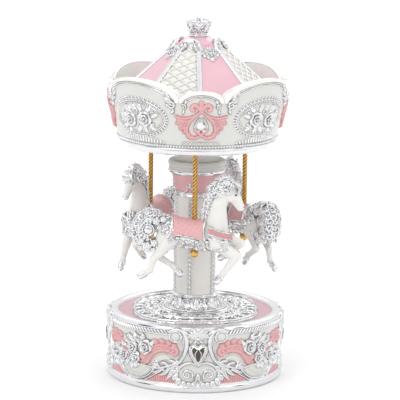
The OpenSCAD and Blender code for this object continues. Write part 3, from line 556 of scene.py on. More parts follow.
class Canvas:
    """A carved surface: a height and a paint for every point of a sheet.

    The sheet is drawn flat, with u across and v up, and laid on its wall
    when the mesh is made. A folded canvas is a quarter of a round wall that
    mirrors itself at both ends.
    """

    def __init__(
        self, width: Row, height: Row, step: float, ground: Paint = Paint.BARE, fold: bool = False
    ) -> None:
        """Lay out an empty sheet.

        Args:
            width: Least and greatest u.
            height: Least and greatest v.
            step: Distance between points.
            ground: Paint of the sheet before anything is carved.
            fold: Whether the sheet mirrors itself at both ends.
        """
        self.u = np.linspace(width[0], width[1], int(round((width[1] - width[0]) / step)) + 1)
        self.v = np.linspace(height[0], height[1], int(round((height[1] - height[0]) / step)) + 1)
        self.bottom = -0.5 if ground == Paint.BARE else 0.0
        self.height = np.full((len(self.u), len(self.v)), self.bottom)
        self.paint = np.full(self.height.shape, int(ground))
        self.fold = fold
        self.mirrors: list[float] = []

    def copies(self, x: Array) -> list[tuple[Array, int]]:
        """Return u values with their mirror images, and each image's sense.

        Args:
            x: Values of u.

        Returns:
            Each row of values with its sense, 1 or -1.
        """
        out = [(x, 1)] + [(2 * line - x, -1) for line in self.mirrors]
        if self.fold:
            out += [(2 * end - y, -sense) for y, sense in out for end in (self.u[0], self.u[-1])]
        return out

    def window(self, x0: float, x1: float, y0: float, y1: float) -> tuple[slice, slice] | None:
        """Return the part of the sheet inside a box, or None outside it.

        Args:
            x0: Least u.
            x1: Greatest u.
            y0: Least v.
            y1: Greatest v.

        Returns:
            Its rows and its columns, or None.
        """
        i = np.searchsorted(self.u, (x0, x1))
        j = np.searchsorted(self.v, (y0, y1))
        if i[0] >= i[1] or j[0] >= j[1]:
            return None
        return slice(i[0], i[1]), slice(j[0], j[1])

    def lift(self, box: tuple[slice, slice], rise: Array, inside: Array, paint: Paint) -> None:
        """Raise a part of the sheet where the new form stands higher.

        Args:
            box: Part of the sheet.
            rise: Height of the new form.
            inside: Where the new form lies.
            paint: Paint of the new form.
        """
        won = inside & (rise > self.height[box])
        self.height[box] = np.where(won, rise, self.height[box])
        self.paint[box] = np.where(won, int(paint), self.paint[box])

    def stroke(
        self, points: Sequence[Row], width: Row | float, rise: Row | float, paint: Paint = Paint.SILVER,
        groove: float = 0.0, foot: float = 0.0
    ) -> None:
        """Carve a rounded ridge along a line.

        Args:
            points: Points of the line.
            width: Half width, one or for each point.
            rise: Height, one or for each point.
            paint: Paint of the ridge.
            groove: Depth of a vein along its middle.
            foot: Height of the ground under it.
        """
        pts = np.asarray(points, float)
        wide = np.broadcast_to(np.asarray(width, float), (len(pts),))
        tall = np.broadcast_to(np.asarray(rise, float), (len(pts),))
        for x, _ in self.copies(pts[:, 0]):
            for i in range(len(pts) - 1):
                (ax, bx), (ay, by) = x[i : i + 2], pts[i : i + 2, 1]
                m = max(wide[i], wide[i + 1])
                box = self.window(min(ax, bx) - m, max(ax, bx) + m, min(ay, by) - m, max(ay, by) + m)
                if box is None:
                    continue
                du, dv = self.u[box[0], None] - ax, self.v[None, box[1]] - ay
                dx, dy = bx - ax, by - ay
                t = np.clip((du * dx + dv * dy) / (dx * dx + dy * dy + TINY), 0, 1)
                far = np.hypot(du - t * dx, dv - t * dy)
                q = far / np.maximum(wide[i] + (wide[i + 1] - wide[i]) * t, 1e-6)
                top = (tall[i] + (tall[i + 1] - tall[i]) * t) * np.sqrt(np.clip(1 - q * q, 0, None))
                if groove:
                    top = top - groove * np.exp(-((q / 0.24) ** 2))
                self.lift(box, foot + top, q < 1, paint)

    def dome(
        self, x: float, y: float, rx: float, ry: float, rise: float, paint: Paint = Paint.SILVER,
        turn: float = 0.0, power: float = 0.5, foot: float = 0.0
    ) -> None:
        """Carve an elliptical dome.

        Args:
            x: Centre across.
            y: Centre up.
            rx: Radius across, before its turn.
            ry: Radius up, before its turn.
            rise: Height of the dome.
            paint: Paint of the dome.
            turn: Turn in degrees.
            power: Lower for a flatter top with steeper sides.
            foot: Height of the ground under it.
        """
        m = max(rx, ry)
        for cx, sense in self.copies(np.array([x])):
            box = self.window(cx[0] - m, cx[0] + m, y - m, y + m)
            if box is None:
                continue
            c, s = cos(radians(turn * sense)), sin(radians(turn * sense))
            du, dv = self.u[box[0], None] - cx[0], self.v[None, box[1]] - y
            q = ((du * c + dv * s) / rx) ** 2 + ((dv * c - du * s) / ry) ** 2
            self.lift(box, foot + rise * np.clip(1 - q, 0, None) ** power, q < 1, paint)

    def fill(
        self, outline: Sequence[Row], rise: float, paint: Paint, bevel: float, ribs: float = 0.0,
        over: bool = False
    ) -> None:
        """Carve a flat field with bevelled edges.

        Args:
            outline: Corners of the field.
            rise: Height of the field.
            paint: Paint of the field.
            bevel: Width of its bevel.
            ribs: Spacing of upright ribs across it, or none.
            over: Whether it also replaces what stands higher.
        """
        pts = np.asarray(outline, float)
        seams = [*self.mirrors, self.u[0], self.u[-1]]
        for x, _ in self.copies(pts[:, 0]):
            box = self.window(x.min(), x.max(), pts[:, 1].min(), pts[:, 1].max())
            if box is None:
                continue
            u, v = np.meshgrid(self.u[box[0]], self.v[box[1]], indexing="ij")
            inside, near = within(u, v, x, pts[:, 1], seams)
            top = rise * np.clip(near / bevel, 0, 1)
            if ribs:
                top = top + RIB * np.cos(2 * pi * u / ribs) * (near > bevel / 2)
            if over:
                self.height[box] = np.where(inside, top, self.height[box])
                self.paint[box] = np.where(inside, int(paint), self.paint[box])
            else:
                self.lift(box, top, inside, paint)

    def leaf(
        self, a: Row, b: Row, bend: float, width: float, rise: float, paint: Paint = Paint.SILVER,
        foot: float = 0.0
    ) -> None:
        """Carve a pointed leaf with a vein.

        Args:
            a: Stalk end.
            b: Tip.
            bend: Sideways bow of the leaf.
            width: Greatest half width.
            rise: Height of the leaf.
            paint: Paint of the leaf.
            foot: Height of the ground under it.
        """
        a, b = np.asarray(a, float), np.asarray(b, float)
        side = np.array([-(b - a)[1], (b - a)[0]]) / (np.linalg.norm(b - a) + 1e-9)
        t = np.linspace(0, 1, 9)[:, None]
        line = a + (b - a) * t + side * bend * 4 * t * (1 - t)
        self.stroke(
            line, bulge(9, 0.12, width, 0.42), bulge(9, rise * 0.35, rise, 0.45), paint, rise * 0.38, foot)

    def leaves(
        self, rows: Iterable[Row], rise: float, foot: float = 0.0, x: float = 0.0, sense: int = 1
    ) -> None:
        """Carve leaves from rows of stalk, tip, bow and half width, counted from x and turned by sense."""
        for x0, y0, x1, y1, bend, width in rows:
            self.leaf((x + sense * x0, y0), (x + sense * x1, y1), sense * bend, width, rise, foot=foot)

    def curl(
        self, x: float, y: float, start: float, turns: float, r0: float, r1: float, width: Row, rise: float,
        paint: Paint = Paint.SILVER, foot: float = 0.0
    ) -> None:
        """Carve a spiral scroll that winds in to a knob.

        Args:
            x: Centre across.
            y: Centre up.
            start: Angle of its outer end in degrees.
            turns: Turns, negative for clockwise.
            r0: Outer radius.
            r1: Inner radius.
            width: Half width at the outer and inner end.
            rise: Height of the scroll.
            paint: Paint of the scroll.
            foot: Height of the ground under it.
        """
        n = max(8, int(abs(turns) * 16))
        t = np.linspace(0, 1, n)
        a = np.radians(start) + 2 * pi * turns * t
        r = r0 + (r1 - r0) * t**0.8
        line = np.stack([x + r * np.cos(a), y + r * np.sin(a)], -1)
        self.stroke(line, width[0] + (width[1] - width[0]) * t, rise, paint, 0.0, foot)
        self.dome(line[-1][0], line[-1][1], width[1] * 1.3, width[1] * 1.3, rise * 1.15, paint, foot=foot)

    def rose(
        self, x: float, y: float, r: float, rise: float, turn: float = 0.0, paint: Paint = Paint.SILVER,
        foot: float = 0.0
    ) -> None:
        """Carve an open rose whose petals wind round its heart.

        Args:
            x: Centre across.
            y: Centre up.
            r: Radius of the bloom.
            rise: Height of its heart.
            turn: Turn in degrees.
            paint: Paint of the rose.
            foot: Height of the ground under it.
        """
        for cx, sense in self.copies(np.array([x])):
            box = self.window(cx[0] - r, cx[0] + r, y - r, y + r)
            if box is None:
                continue
            du, dv = (self.u[box[0], None] - cx[0]) * sense, self.v[None, box[1]] - y
            a = np.arctan2(dv, du) / (2 * pi) - turn / 360
            far = np.hypot(du, dv) / (r * (0.88 + 0.12 * np.abs(np.sin(5 * pi * a))))
            whorl = (2.5 * far**0.9 - a) % 1
            petal = 0.9 + 0.1 * np.cos(10 * pi * a + 7 * far)
            top = rise * (0.42 + 0.58 * (1 - np.clip(far, 0, 1) ** 2.2)) * (0.42 + 0.58 * whorl) * petal
            self.lift(box, foot + top, far < 1, paint)

    def beads(
        self, x0: float, x1: float, y: float, pitch: float, r: float, rise: float, paint: Paint = Paint.SILVER
    ) -> None:
        """Carve a row of beads between two ends at one height.

        Args:
            x0: First end across.
            x1: Last end across.
            y: Height on the sheet.
            pitch: Distance from bead to bead.
            r: Radius of a bead.
            rise: Height of a bead.
            paint: Paint of the beads.
        """
        count = max(1, int(round((x1 - x0) / pitch)))
        for i in range(count + 1):
            self.dome(x0 + (x1 - x0) * i / count, y, r, r, rise, paint)

    def faces(self, place: Place, flip: bool = False) -> dict[Paint, tuple[Array, Array, Array]]:
        """Lay the sheet on its wall and split it by paint.

        Args:
            place: Gives the point for u, v and the height.
            flip: Whether the faces turn round.

        Returns:
            For each paint its points, its faces and the recess depths.
        """
        h, p, u = self.height, self.paint, self.u
        blur = h.copy()
        for _ in range(RECESS_ROUNDS):
            wide = np.pad(blur, 1, mode="edge")
            blur = (wide[:-2, 1:-1] + wide[2:, 1:-1] + wide[1:-1, :-2] + wide[1:-1, 2:]) / 4
        # Points below the blurred relief lie in recesses, and their depth drives the painted shade.
        deep = np.clip((blur - h) * RECESS_GAIN, 0, 1)
        if self.fold:
            span = u[-1] - u[0]
            u = np.concatenate([u + span * i for i in range(4)])
            keep = np.ones(len(u), bool)
            keep[len(self.u) - 1 :: len(self.u)] = False
            h, p, deep = (np.concatenate([a, a[::-1], a, a[::-1]])[keep] for a in (h, p, deep))
            u = u[keep]
        grid = place(u[:, None], self.v[None, :], h).reshape(-1, 3)
        n, m = h.shape
        i, j = np.meshgrid(np.arange(n if self.fold else n - 1), np.arange(m - 1), indexing="ij")
        k = (i + 1) % n
        corners = np.stack([i * m + j, k * m + j, k * m + j + 1, i * m + j + 1], -1).reshape(-1, 4)
        if flip:
            corners = corners[:, ::-1]
        flat_h, flat_p = h.ravel(), p.ravel()
        top = np.take_along_axis(flat_p[corners], flat_h[corners].argmax(1)[:, None], 1)[:, 0]
        out = {}
        for paint in Paint:
            chosen = corners[top == int(paint)]
            if paint == Paint.BARE or not len(chosen):
                continue
            used, where = np.unique(chosen, return_inverse=True)
            out[paint] = (grid[used], where.reshape(chosen.shape), deep.ravel()[used])
        return out

    def pieces(
        self, name: str, place: Place, body: Body, flip: bool = False, stands_for: Iterable[str] = (),
        turns: Sequence[float] = ()
    ) -> None:
        """Make one piece of each paint.

        Args:
            name: Start of every piece's name.
            place: Gives the point for u, v and the height.
            body: Body that the pieces move with.
            flip: Whether the faces turn round.
            stands_for: Nodes that the first piece replaces.
            turns: Turns of copies about Z, in degrees.
        """
        made = self.faces(place, flip)
        for paint, (points, faces, deep) in sorted(made.items(), key=lambda item: item[0] != Paint.SILVER):
            for k, turn in enumerate(turns or (0.0,)):
                tag = f"{name}_{paint.name.lower()}" + (f"_{k + 1}" if turns else "")
                spin = Matrix.Rotation(radians(turn), 4, "Z")
                make_piece(tag, points, faces, paint.finish(), body, stands_for, spin, deep)
                stands_for = ()


def round_wall(line: Sequence[Row], radius: float, lift: float) -> Place:
    """Return the placing of a sheet on a turned wall.

    Args:
        line: Radius and height of the wall's outline, upwards.
        radius: Radius at which u is measured.
        lift: How far the sheet stands off the wall.

    Returns:
        A function of u, v as height, and relief.
    """
    r, z = np.array(line, float).T

    def place(u: Array, v: Array, h: Array) -> Array:
        """Return the points at u, at the height v, with the relief h."""
        return around(np.interp(v, z, r) + lift + h, u / radius, v)

    return place


def turned(
    name: str, finish: Finish, body: Body, lines: Iterable[tuple[float, Sequence[Row]]], smooth: int = 5,
    steps: int = 240, closed: bool = False
) -> bpy.types.Object:
    """Turn smooth outlines about the Z axis into one piece.

    Args:
        name: Piece name.
        finish: Finish of the piece.
        body: Body that the piece moves with.
        lines: Height that each outline is counted from, and its points.
        smooth: Steps from point to point.
        steps: Sides of the turned form.
        closed: Whether their ends join their starts.

    Returns:
        The new object.
    """
    shape = Shape()
    for z, line in lines:
        shape.lathe(spline(np.asarray(line, float) + (0.0, z), smooth), steps, closed)
    return shape.piece(name, finish, body)


@dataclass
class Base:
    """The drum with its carved wall, cartouches, rim, foot and deck."""

    radius: float = 47.0
    wall_low: float = 4.9
    wall_high: float = 34.7
    deck_z: float = 35.0
    step: float = 0.22
    wall: tuple[Row, ...] = (
        (47.2, 5), (46.9, 11.04), (46.4, 20.24), (46.55, 26.4), (47, 27.6), (47.6, 28.4), (47.8, 29.6),
        (48, 31.4), (48.05, 33.6), (47.9, 34.9))

    @property
    def quarter(self) -> float:
        """Length of a quarter of the wall."""
        return self.radius * pi / 2

    def rope(self, c: Canvas) -> None:
        """Carve the twisted rope under the rim.

        Args:
            c: Sheet of the wall.
        """
        c.stroke([(0, 32.1), (self.quarter, 32.1)], 0.32, 0.5)
        count = int(self.quarter / 1.9)
        for i in range(count + 1):
            x = self.quarter * i / count
            c.stroke([(x - 0.7, 32.7), (x + 0.7, 34.2)], 0.5, 1.0)

    def swirl(self, c: Canvas) -> None:
        """Carve the pink acanthus that arches between shield and roses.

        Args:
            c: Sheet of the wall.
        """
        spine = curve(
            31.4, 11.2, 29.8, 16.6, 26.8, 21.2, 22.4, 23.9, 17.8, 24.3, 14.3, 23, 12.9, 20.8, steps=6)
        wide = np.interp(np.linspace(0, 1, len(spine)), (0, 0.3, 0.6, 0.85, 1), (2.5, 3, 2.9, 2.1, 1.3))
        c.stroke(spine, wide, 1.1, Paint.ROSE, 0.45)
        for shift, share in ((0.55, 0.3), (-0.5, 0.26)):
            way = np.gradient(spine, axis=0)
            off = np.stack([-way[:, 1], way[:, 0]], -1) / np.linalg.norm(way, axis=1)[:, None] * wide[:, None]
            c.stroke(spine + off * shift, wide * share, 1.45, Paint.ROSE)
        for x, y, r in (
            (33.4, 13.6, 1.7), (32.2, 17.6, 1.9), (30.6, 21.6, 2), (27.8, 25, 2.1), (23.8, 27, 2),
            (19.8, 27.6, 1.9), (16.2, 27, 1.8), (13.2, 25.8, 1.6)
        ):
            c.dome(x, y, r, r, 1.3, Paint.ROSE, power=0.4)
            c.stroke([(x, y), ((x + 22) / 2, (y + 17) / 2)], (0.75, 0.4), (1.55, 1.2), Paint.ROSE)
        c.curl(13.2, 22.4, 75, 1.05, 2.5, 0.6, (1.15, 0.8), 1.55, Paint.ROSE)
        tongue = curve(27.4, 11.4, 24.6, 15.4, 20.6, 18.4, 17, 18.8, 15.2, 17)
        c.stroke(tongue, bulge(len(tongue), 0.5, 1.7, 0.4), 0.7, Paint.PEARL)

    def leaves(self, c: Canvas) -> None:
        """Carve the silver leaf spray that runs under the swirl.

        Args:
            c: Sheet of the wall.
        """
        stem = curve(11, 17, 15, 14.8, 20, 13.2, 25, 12.4, 29.5, 13.2)
        c.stroke(stem, np.linspace(1.0, 0.5, len(stem)), 1.3)
        rows = [
            (12, 16.4, 17.2, 17, 0.6, 1), (16, 14.6, 21.8, 15.8, 0.6, 1), (21, 13.3, 26.6, 14.8, 0.5, 1),
            (13.4, 15.4, 17.8, 6.4, -1.2, 1.5), (15.4, 14.4, 21.8, 8.6, -1.2, 1.3),
            (18.4, 13.8, 26, 10, -1, 1.2), (12, 15.6, 12.6, 8.6, -1, 1.2), (22, 15, 29, 12.4, -0.8, 1)]
        c.leaves(rows, 1.5)

    def bowl(self, c: Canvas) -> None:
        """Carve the fluted pearl shell under each rose spray.

        Args:
            c: Sheet of the wall.
        """
        m = self.quarter / 2
        turn = np.linspace(0.02, pi - 0.02, 30)
        rim = [(m + 12.6 * cos(a), 14.6 - 9.2 * sin(a)) for a in turn]
        c.fill(rim, 0.6, Paint.PEARL, 1.2, over=True)
        for a in np.linspace(0.28, pi - 0.28, 13):
            way = np.array([cos(a) * 1.25, -sin(a)])
            c.leaf(
                np.array([m, 13.6]) + way * 2.0, np.array([m, 14.4]) + way * 7.7, 0, 0.95, 0.75, Paint.PEARL,
                0.35)
        c.stroke(rim, 0.5, 1.2)
        c.stroke([(m + (x - m) * 0.93, y + 0.75) for x, y in rim], 0.28, 1.0)
        for side in (-1, 1):
            c.curl(m + side * 13.4, 15.4, 90 + side * 150, side * 1.1, 1.6, 0.4, (0.5, 0.4), 1.2)

    def spray(self, c: Canvas) -> None:
        """Carve the roses and leaves between two cartouches.

        Args:
            c: Sheet of the wall.
        """
        m = self.quarter / 2
        rows = [
            (3, 25, 0.4, 31.2, 0.7, 1.7), (5, 26, 5.6, 31.4, -0.6, 1.6), (0, 25, -4.4, 29.6, 0.8, 1.6),
            (-4, 24, -9.4, 28, 0.8, 1.5), (9, 25, 12.4, 28.4, -0.7, 1.4), (-9, 18.6, -14.2, 20.6, 0.7, 1.5),
            (-7, 22, -12.8, 24, 0.7, 1.4), (-12, 15, -15, 11.4, -0.7, 1.4), (-9.4, 14, -10.8, 9.8, -0.6, 1.4),
            (-4, 15.4, -6, 11, -0.6, 1.5), (0.4, 15, 0.2, 10.4, 0.5, 1.5), (-2, 15, -2.6, 9.6, 0.5, 1.5)]
        c.leaves(rows, 1.7, 0.5, m, -1)
        for x, y, r, rise, turn in [
            (6.6, 23.6, 4.5, 3.3, 12), (-2.4, 22.2, 3.8, 3.1, 50), (0.2, 16.6, 3.3, 2.7, 80),
            (-9.8, 16.6, 3.2, 2.5, 20), (-5.2, 17.4, 2.5, 2.2, 45), (-6.4, 26, 2.3, 2, 65),
            (2, 27.6, 2.4, 2, 35), (-12.8, 20.6, 1.9, 1.8, 5)
        ]:
            c.rose(m - x, y, r, rise, turn, foot=0.6)
        for x, y in [(-10.4, 21.2), (11.2, 25), (-13.2, 18), (-7, 12.4), (2.6, 13), (-3.6, 12.6)]:
            c.dome(m - x, y, 1.0, 1.0, 1.7)

    def carve_wall(self) -> None:
        """Carve and lay the whole wall."""
        c = Canvas((0, self.quarter), (self.wall_low, self.wall_high), self.step, Paint.PEARL, fold=True)
        m = self.quarter / 2
        self.rope(c)
        c.mirrors = [m]
        c.fill(
            [(8.4, 4.6), (29.4, 4.6), (24.8, 7.6), (19.8, 10.6), (14, 11.6), (8.4, 11)], 0.25, Paint.ROSE,
            0.2, 1.05, True)
        ridge = curve(7.8, 11.6, 14, 12.4, 19.8, 11.4, 25, 8.2, 30, 5)
        c.stroke(ridge, 0.45, 0.8)
        self.swirl(c)
        self.bowl(c)
        self.leaves(c)
        c.mirrors = []
        self.spray(c)
        sprays = [f"rose_spray_{i}" for i in range(1, 5)]
        c.pieces("base_wall", round_wall(self.wall, self.radius, 0.16), Body.BASE, stands_for=sprays)

    def carve_cartouche(self) -> None:
        """Carve the shield with its shell, heart and scrolls, four times."""
        c = Canvas((-17.5, 17.5), (3.4, 39.6), 0.17)
        c.mirrors = [0]
        c.fill(
            [(-0.2, 5.2), (9, 5.4), (11, 9), (10.4, 13), (8.4, 18), (6.6, 22), (6.2, 27), (6.6, 33.4),
            (-0.2, 33.4)], 0.45, Paint.PEARL, 0.4)
        strap = curve(
            15, 34.2, 11.6, 35.5, 8.4, 34.6, 6.5, 31.6, 6.1, 27.4, 6.8, 23, 8.8, 18.8, 11.8, 15.4, 15.4, 13,
            steps=6)
        c.stroke(
            strap, np.interp(np.linspace(0, 1, len(strap)), (0, 0.5, 1), (0.9, 1.4, 0.7)), 1.9, groove=0.3)
        c.stroke(strap + (1.7, 0.6), np.linspace(0.5, 0.3, len(strap)), 0.9)
        ring = np.linspace(0, 2 * pi, 33)
        c.dome(12.0, 31.4, 2.7, 2.7, 2.4, Paint.PEARL, foot=0.3)
        c.stroke(np.stack([12 + 3 * np.cos(ring), 31.4 + 3 * np.sin(ring)], -1), 0.8, 1.8)
        inner = curve(0, 14.6, 2.4, 18, 5.4, 21.2, 6.4, 24.6)
        c.stroke(inner, 0.45, 1.0)
        outer = curve(
            0, 15.2, 3.6, 16.8, 7.8, 15.6, 10.9, 12.6, 11.5, 9, 9.8, 5.8, 6.2, 4.5, 2.6, 5.4, 0.3, 8, steps=6)
        c.stroke(outer, bulge(len(outer), 0.6, 1.2, 0.6), 1.7, groove=0.3)
        c.dome(5.6, 10.4, 4.6, 4.6, 0.8, Paint.PEARL, foot=0.3)
        c.curl(5.8, 10.2, 215, -1.15, 3.3, 1.0, (0.8, 0.7), 1.7)
        rows = [
            (11.2, 12.4, 13.4, 10.2, 0.5, 1.1), (10.6, 9.8, 13.1, 6.4, 0.7, 1.8),
            (9.4, 8, 10.8, 3.8, 0.7, 1.8), (7.2, 6.4, 7.6, 3.5, 0.5, 1.7), (4.6, 6, 4.4, 3.5, 0.5, 1.4),
            (3.2, 6, 0.6, 3.8, 0.4, 1.1), (1.4, 7.6, 0.2, 11.4, 0.5, 1), (9.4, 14.4, 12.2, 13.8, 0.4, 0.9)]
        c.leaves(rows, 2.1, 0.2)
        for i, a in enumerate(np.radians([90, 62, 38, 16])):
            tip = (6.2 * cos(a), 31.6 + 5.6 * sin(a))
            c.leaf((0.5 * cos(a), 31), tip, 0, 1.6 - 0.12 * i, 1.7, foot=0.2)
        c.stroke([(0, 30.4), (2.6, 30.6), (5.2, 31.6)], 0.7, 1.6)
        c.leaf((0.6, 30.2), (3.6, 27.4), -0.4, 1.0, 1.5)
        c.dome(0, 30.4, 1.4, 1.1, 1.9)
        self.heart(c)
        line = [
            (47.2, 3), (47.2, 5), (46.9, 11.04), (46.4, 20.24), (46.7, 26.4), (47.6, 28.4), (48, 31.4),
            (48.1, 33), (48.1, 35.4), (47.3, 37), (46.6, 39.6)]
        c.pieces(
            "cartouche", round_wall(line, self.radius, 0.1), Body.BASE,
            stands_for=[f"cartouche_{i}" for i in range(1, 5)], turns=(0, 90, 180, 270))

    @staticmethod
    def heart(c: Canvas) -> None:
        """Carve the faceted heart at the middle of the shield.

        Args:
            c: Sheet of the cartouche.
        """
        outline = [
            (0, 25.9), (1.4, 27.1), (3.2, 27), (4.5, 25.6), (4.6, 23.4), (3.6, 20.6), (2, 17.8), (0, 15.4)]
        box = c.window(-5.4, 5.4, 14.6, 28)
        u, v = np.meshgrid(np.abs(c.u[box[0]]), c.v[box[1]], indexing="ij")
        x, y = np.array([(-1e-3, 25.9), *outline[1:-1], (-1e-3, 15.4)]).T
        inside, near = within(u, v, x, y, c.mirrors)
        c.lift(box, 1.0 + 2.1 * np.clip(near / 2.6, 0, 1) ** 0.55, inside, Paint.SILVER)
        # The deep facets of the heart take a painted dark reflection.
        c.paint[box] = np.where(inside & (near > 1.5), int(Paint.SMOKE), c.paint[box])
        c.stroke(outline, 0.6, 2.0)
        c.stroke([(0.5, 24.4), (1.7, 22.4), (1.2, 19.2)], (0.1, 0.3, 0.1), 3.3)

    def mouldings(self) -> None:
        """Turn the rim and the foot moulding as bright silver bands."""
        rim = [
            (47.4, 34.3), (48.1, 34.35), (48.45, 34.8), (48.4, 35.5), (47.9, 36.3), (46.9, 36.85),
            (45.6, 36.98), (44.2, 36.95), (43.3, 36.6), (42.6, 35.6), (42.5, 34.9)]
        turned("base_rim", SILVER, Body.BASE, [(0, rim)])
        foot = [
            (47.3, 0.05), (48, 0.3), (48.75, 1.2), (48.95, 2.3), (48.8, 3.3), (48, 4.3), (47.5, 4.9),
            (47.3, 5.4), (46.9, 5.5)]
        turned("base_foot", SILVER, Body.BASE, [(0, foot)])
        ring = [(35, 0.1), (36, 0.16), (39, 0.22), (42.3, 0.3), (42.75, 0.5)]
        piece = turned("deck_ring", DECK_PINK, Body.BASE, [(self.deck_z, ring)], 1)
        if piece.data.polygons[0].normal.z < 0:
            piece.data.flip_normals()

    def deck(self) -> None:
        """Carve the lobed silver plate on the deck."""
        radius = 30.0
        quarter = radius * pi / 2
        c = Canvas((0, quarter), (11.5, 39.6), 0.24, Paint.SILVER, fold=True)
        c.height[:] = np.interp(
            c.v, [11.5, 17, 17.8, 20.6, 22.4, 27.4, 29, 39.6], [2.75, 2.75, 2.45, 2.4, 2, 2, 1.4, 1.35])
        edge = 36.6 - 1.7 * np.cos(c.u / radius * 4) - 0.9 * (1 - np.abs(np.cos(c.u / radius * 10)))
        for at, wide, rise in (
            (34.8, 0.7, 2.3), (16.8, 0.6, 3.5), (19.4, 0.5, 3.2), (28.6, 0.7, 2.7), (14.2, 0.5, 3.6)
        ):
            wave = np.interp(at, [20, 36], [0, 1]) * (edge - 36)
            c.stroke(np.stack([c.u[::4], at + wave[::4]], -1), wide, rise)
        span = quarter / 4
        for k in range(4):
            x = span * (k + 0.5)
            s = 1 if k % 2 else -1
            c.curl(x - s * 1.6, 24.4, 90 - s * 60, s * 1.2, 3.5, 0.7, (0.85, 0.6), 1.1, foot=2.0)
            c.leaf((x + s * 0.6, 21.2), (x + s * 5.4, 22.8), s * 0.8, 1.3, 1.0, foot=2.0)
            c.leaf((x + s * 2, 27.8), (x + s * 5.8, 26), -s * 0.8, 1.3, 1.0, foot=2.0)
            for dx in (-3.2, 3.2):
                c.leaf((x + dx, 29.4), (x + dx * 1.2, 34), 0.5 * s, 1.7, 0.9, foot=1.4)
            c.rose(x + span / 2, 24.4, 2.4, 1.5, 20 * k, foot=2.0)
        out = c.v[None, :] > edge[:, None]
        c.height = np.where(out, 0.05, c.height)
        c.paint[c.v[None, :] > edge[:, None] + 0.35] = int(Paint.BARE)

        def place(u: Array, w: Array, h: Array) -> Array:
            """Return the points at u, at the distance w from the axis, with the relief h."""
            return around(w, u / radius, self.deck_z + h)

        c.pieces("deck_plate", place, Body.BASE, flip=True, stands_for=["relief_plate"])

    def build(self) -> None:
        """Build every piece of the base."""
        self.carve_wall()
        self.carve_cartouche()
        self.mouldings()
        self.deck()
        dress("base_drum", PEARL)


def dress(node: str, finish: Finish) -> None:
    """Give a node of the frame its finish.

    Args:
        node: Name of the node.
        finish: Its finish.
    """
    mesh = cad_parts[node].data
    mesh.materials.clear()
    mesh.materials.append(finish.material())


